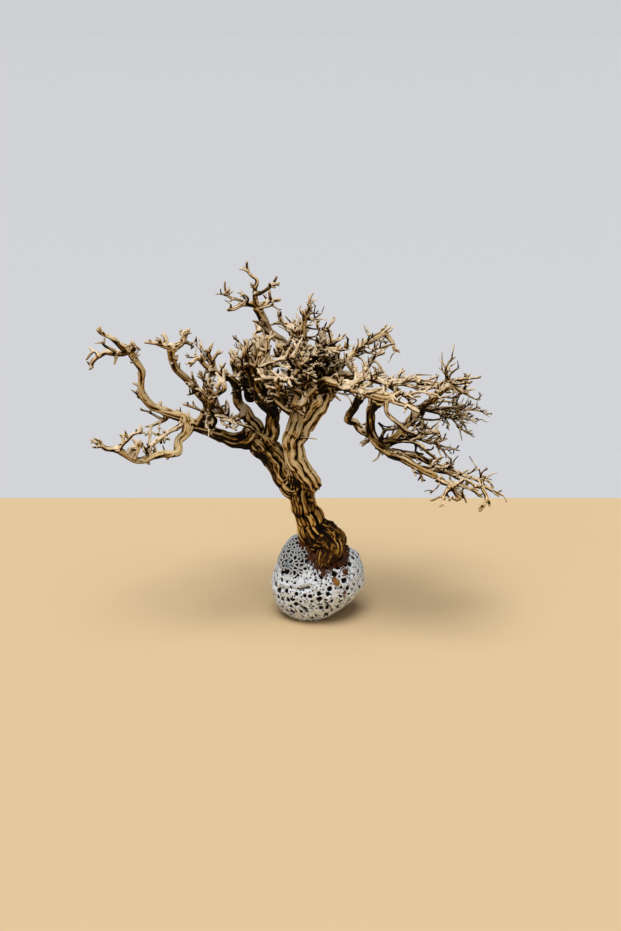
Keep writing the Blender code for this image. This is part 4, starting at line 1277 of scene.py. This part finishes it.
pumiceColours = {
    "shaded": (0.30, 0.335, 0.39),
    "skin": (0.86, 0.93, 1.0),
    "grain": (0.98, 0.98, 1.0),
    "dust": (0.40, 0.33, 0.24),
    "comb": (0.20, 0.225, 0.22),
    "blue": (0.10, 0.17, 0.22),
    "rim": (0.25, 0.155, 0.075),
    # painted shade in the folds
    "crease": (0.13, 0.085, 0.045),
    # painted shade in the hollows of the skin, painted highlight on its crests
    "hollow": (0.05, 0.045, 0.04),
    "crest": (0.95, 0.95, 0.97),
    # painted shade: the near-black colours that fill the pores
    "pore": (0.008, 0.007, 0.007),
    "brownPore": (0.030, 0.018, 0.010),
}
bluePatch = (-0.0114, -0.0088, 0.0271)      # a bluish spot within the sponge-like patch
# red-brown stains that ran down from the glue: centre, inner and outer reach, strength, colour
stoneStains = (
    ((-0.0018, -0.0095, 0.0324), 0.0010, 0.0062, 0.97, (0.030, 0.010, 0.005)),
    ((0.0027, -0.0127, 0.0289), 0.0012, 0.0060, 0.97, (0.030, 0.008, 0.004)),
    ((0.0075, -0.0140, 0.0270), 0.0008, 0.0045, 0.90, (0.060, 0.016, 0.006)),
    ((0.0045, -0.0148, 0.0254), 0.0002, 0.0030, 0.80, (0.10, 0.03, 0.012)),
    ((0.0141, -0.0085, 0.0295), 0.0015, 0.0055, 0.95, (0.085, 0.018, 0.009)),
    ((0.0150, -0.0119, 0.0256), 0.0002, 0.0034, 0.85, (0.15, 0.045, 0.018)),
    ((0.0113, -0.0160, 0.0220), 0.0002, 0.0026, 0.85, (0.18, 0.070, 0.020)),
    ((0.0145, -0.0155, 0.0168), 0.0, 0.0022, 0.80, (0.16, 0.050, 0.02)),
)


def buildPumiceLook():
    material, shader, place = newLook("pumice")
    tree = material.node_tree
    mottle, cloud, grains = cloudy(place, 820.0, 5.0, 0.62), cloudy(place, 90.0, 3.0), cloudy(place, 2800.0)
    x, y, z = splitVector(place)
    tan = times(ease(z, 0.003, 0.012, 1.0, 0.0), ease(x, -0.018, 0.004, 1.0, 0.25),
                ease(mottle, 0.42, 0.60, 0.7, 0.0))      # along the lower left edge
    hollow = readAttribute(tree, "hollow")
    # painted shade inside the pores, near black and brownish in places
    dark = mixColour(ease(cloud, 0.4, 0.6), pumiceColours["pore"], pumiceColours["brownPore"])
    layers = [
        (times(ease(grains, 0.55, 0.72), 0.4), pumiceColours["grain"]),
        (times(ease(cloud, 0.52, 0.68), 0.10), pumiceColours["dust"]),
        (times(readAttribute(tree, "comb"), 0.72), pumiceColours["comb"]),
        (ease(calcVector("DISTANCE", place, bluePatch), 0.002, 0.0055, 0.6, 0.0), pumiceColours["blue"]),
        (tan, pumiceColours["rim"]),
        # painted shade: the folds are darkened
        (times(readAttribute(tree, "crease"), 0.8), pumiceColours["crease"]),
    ]
    for centre, near, reach, strength, tint in stoneStains:
        edge = plus(calcVector("DISTANCE", place, centre), swing(mottle, 0.008))
        layers.append((ease(edge, near, reach, strength, 0.0), tint))
    layers += [
        # painted shade in the hollows of the skin, painted highlight on its crests
        (ease(hollow, 0.10, 0.8, 0.0, 0.9), pumiceColours["hollow"]),
        (ease(hollow, -0.3, -1.1, 0.0, 0.5), pumiceColours["crest"]),
        # painted shade that fills the pores
        (ease(readAttribute(tree, "pore"), 0.08, 0.40, 0.0, 0.98), dark),
    ]
    skin = mixColour(ease(mottle, 0.30, 0.52), pumiceColours["shaded"], pumiceColours["skin"])
    for share, tint in layers:
        skin = mixColour(share, skin, tint)
    setSurface(shader, skin, 0.92, 0.2, plus(times(grains, 0.5), mottle), 0.9, 0.00035)
    return material


def buildStone():
    stone = refine(copyNode("pumice_stone", "pumiceStone"), pumice["voxel"], 14)
    folds = creaseObject(stone)
    applyTree(stone, buildPoreTree(), {
        "Creases": folds, "Comb Depth": pumice["combDepth"] * mm, "Lumps": pumice["lumps"] * mm,
        "Crease Depth": pumice["creaseDepth"] * mm, "Finish": buildPumiceLook()})
    bpy.data.objects.remove(folds)
    for vertex in stone.data.vertices:
        if vertex.co.z < 0.05 * mm:
            vertex.co.z = 0.0
    return stone


pumiceStone = buildStone()
print("stone", len(pumiceStone.data.polygons), "faces")


glue = {
    "near": 0.2,              # mm from the wood within which crumbs lie thickest
    "reach": 2.1,             # mm from the wood to the last crumbs
    "crumbs": 2.2,            # crumbs on each square millimetre, where they are thickest
    "small": 0.28,            # mm, radius of the smallest crumb
    "large": 1.15,
    "voxel": 0.24,
    "roughness": 0.50,        # mm
}
glueColours = {
    "dark": (0.011, 0.0035, 0.0015),
    "red": (0.088, 0.021, 0.005),
    "grain": (0.36, 0.13, 0.035),
    "amber": (0.42, 0.19, 0.045),
    # painted shade in the hollows of the glue
    "hollow": (0.008, 0.003, 0.002),
}
amberSpot = (0.0110, -0.0160, 0.0224)
# lumps that lie away from the joint: centre and radius in millimetres
glueLumps = (((14.1, -8.5, 29.5), 2.3), ((12.4, -9.9, 29.0), 1.7), ((15.0, -11.9, 25.6), 1.2),
             ((11.3, -15.8, 22.2), 1.35), ((10.0, -15.0, 23.6), 1.0), ((14.5, -15.3, 16.8), 0.8),
             ((2.7, -12.6, 28.9), 1.3), ((-1.2, -9.6, 32.0), 1.4), ((5.0, -14.6, 25.8), 0.9))


def buildCrumbTree():
    tree, given, result = newTree(
        "glueCrumbs", "GeometryNodeTree",
        {"Lumps": "Geometry", "Stone": "Object", "Wood": "Object", "Near": 0.001, "Reach": 0.004,
         "Crumbs": 900000.0, "Small": 0.0003, "Large": 0.001, "Seed": 4, "Finish": "Material"}, ["Crumbs"])
    away = outOf(tree, "GeometryNodeProximity", {0: meshOf(given["Wood"])}, {"target_element": "FACES"},
                 "Distance")
    where = ease(away, given["Near"], given["Reach"], 1.0, 0.0)
    points = outOf(tree, "GeometryNodeDistributePointsOnFaces", {
        "Mesh": meshOf(given["Stone"]), "Density": times(where, where, given["Crumbs"]),
        "Seed": given["Seed"]})
    lump = outOf(tree, "GeometryNodeMeshIcoSphere", {"Radius": 1.0, "Subdivisions": 2})
    size = outOf(tree, "FunctionNodeRandomValue", {2: 0.0, 3: 1.0, "Seed": given["Seed"]},
                 {"data_type": "FLOAT"}, 1)
    size = calc("MULTIPLY_ADD", calc("POWER", size, 2.0), minus(given["Large"], given["Small"]),
                given["Small"])
    placed = outOf(tree, "GeometryNodeInstanceOnPoints", {"Points": points, "Instance": lump, "Scale": size})
    both = addNode(tree, "GeometryNodeJoinGeometry")
    plug(given["Lumps"], both.inputs[0])
    plug(outOf(tree, "GeometryNodeRealizeInstances", {0: placed}), both.inputs[0])
    finish(both.outputs[0], given, result["Crumbs"])
    return tree


def buildRoughTree():
    tree, given, result = newTree("roughGlue", "GeometryNodeTree",
                                  {"Glue": "Geometry", "Roughness": 0.0003, "Finish": "Material"}, ["Glue"])
    rough = cloudy(positionIn(tree), 750.0, 3.0, 0.7)
    far = times(minus(rough, 0.5), times(given["Roughness"], 3.0))
    moved = moveBy(given["Glue"], outOf(tree, "GeometryNodeInputNormal"), far)
    finish(storeHollow(moved, 5, 0.0002), given, result["Glue"])
    return tree


def buildGlueLook():
    material, shader, place = newLook("driedGlue")
    cloud, grains = cloudy(place, 260.0, 3.0), cloudy(place, 1900.0, 3.0)
    tint = mixColour(ease(cloud, 0.38, 0.62), glueColours["dark"], glueColours["red"])
    for share, name in ((times(ease(grains, 0.52, 0.68), 0.6), "grain"),
                        (ease(calcVector("DISTANCE", place, amberSpot), 0.0012, 0.0032, 0.8, 0.0), "amber"),
                        # painted shade in the hollows of the glue
                        (ease(readAttribute(material.node_tree, "hollow"), -0.1, 0.7), "hollow")):
        tint = mixColour(share, tint, glueColours[name])
    setSurface(shader, tint, ease(cloud, 0.3, 0.7, 0.45, 0.85), 0.2, grains, 0.7, 0.0003)
    return material


def buildGlue():
    work = bmesh.new()
    for centre, radius in glueLumps:
        made = bmesh.ops.create_icosphere(work, subdivisions=3, radius=radius * mm)
        bmesh.ops.translate(work, verts=made["verts"], vec=Vector(centre) * mm)
    mesh = bpy.data.meshes.new("glue")
    work.to_mesh(mesh)
    work.free()
    look = buildGlueLook()
    crumbs = applyTree(newObject("driedGlue", mesh), buildCrumbTree(), {
        "Stone": pumiceStone, "Wood": trunkWood, "Near": glue["near"] * mm, "Reach": glue["reach"] * mm,
        "Crumbs": glue["crumbs"] / mm ** 2, "Small": glue["small"] * mm, "Large": glue["large"] * mm,
        "Finish": look})
    refine(crumbs, glue["voxel"], 1)
    return applyTree(crumbs, buildRoughTree(), {"Roughness": glue["roughness"] * mm, "Finish": look})


driedGlue = buildGlue()
print("glue", len(driedGlue.data.polygons), "faces")


studio = {
    "cameraAbove": 20.0,      # degrees above the horizon
    "cameraDistance": 0.55,
    "aim": (-0.0007, 0.0, 0.0727),
    "lens": 47.25,
    "floorHalf": 20.0,
    "seam": 0.1445,           # where the sand-coloured floor turns pale grey, behind the object
    "sand": (0.72, 0.53, 0.30),
    "paleGrey": (0.60, 0.605, 0.63),
    "roomColour": (0.97, 0.98, 1.0, 1),
    "roomLight": 0.13,        # how strongly the room lights the object
    "roomSeen": 0.64,         # how bright the room looks
}
# name: (how it is turned and how wide it looks in degrees, its power)
lamps = {
    "topLight": ((10, -4, 0), 42, 2.95),
    "frontLight": ((58, 0, -30), 60, 0.30),
}


def buildCamera():
    camera = newObject("camera", bpy.data.cameras.new("camera"))
    camera.data.lens = studio["lens"]
    tilt = math.radians(studio["cameraAbove"])
    back = Vector((0, -math.cos(tilt), math.sin(tilt)))
    camera.location = Vector(studio["aim"]) + back * studio["cameraDistance"]
    camera.rotation_euler = (math.pi / 2 - tilt, 0, 0)
    camera.data.clip_start, camera.data.clip_end = 0.01, 100
    bpy.context.scene.camera = camera


def buildFloor():
    half = studio["floorHalf"]
    floor = bpy.data.meshes.new("floor")
    floor.from_pydata([(-half, -half, 0), (half, -half, 0), (half, half, 0), (-half, half, 0)], [],
                      [(0, 1, 2, 3)])
    material, shader, place = newLook("floorPaper")
    behind = calc("GREATER_THAN", splitVector(place)["Y"], studio["seam"])
    plug(mixColour(behind, studio["sand"], studio["paleGrey"]), shader.inputs["Base Color"])
    plug(0.9, shader.inputs["Roughness"])
    floor.materials.append(material)
    newObject("floor", floor)


def buildLights():
    for name, (turn, width, power) in lamps.items():
        lamp = bpy.data.lights.new(name, "SUN")
        lamp.angle, lamp.energy = math.radians(width), power
        lampObject = newObject(name, lamp)
        lampObject.location = (0, 0, 1)
        lampObject.rotation_euler = [math.radians(a) for a in turn]
    world = bpy.data.worlds.new("room")
    bpy.context.scene.world = world
    world.use_nodes = True
    background = world.node_tree.nodes["Background"]
    plug(studio["roomColour"], background.inputs[0])
    seen = outOf(world.node_tree, "ShaderNodeLightPath", output="Is Camera Ray")
    plug(ease(seen, 0.0, 1.0, studio["roomLight"], studio["roomSeen"]), background.inputs[1])


buildCamera()
buildFloor()
buildLights()
print("camera and lights placed")


# every piece rides the root's body
for piece in woodPieces:
    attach(piece, "root")
for piece, slot in ((pumiceStone, "pumice"), (driedGlue, "dried_glue")):
    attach(piece, "root")
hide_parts("dry_root")
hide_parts("pumice_stone")
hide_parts("glue_collar")
bpy.context.scene.view_settings.view_transform = "Standard"
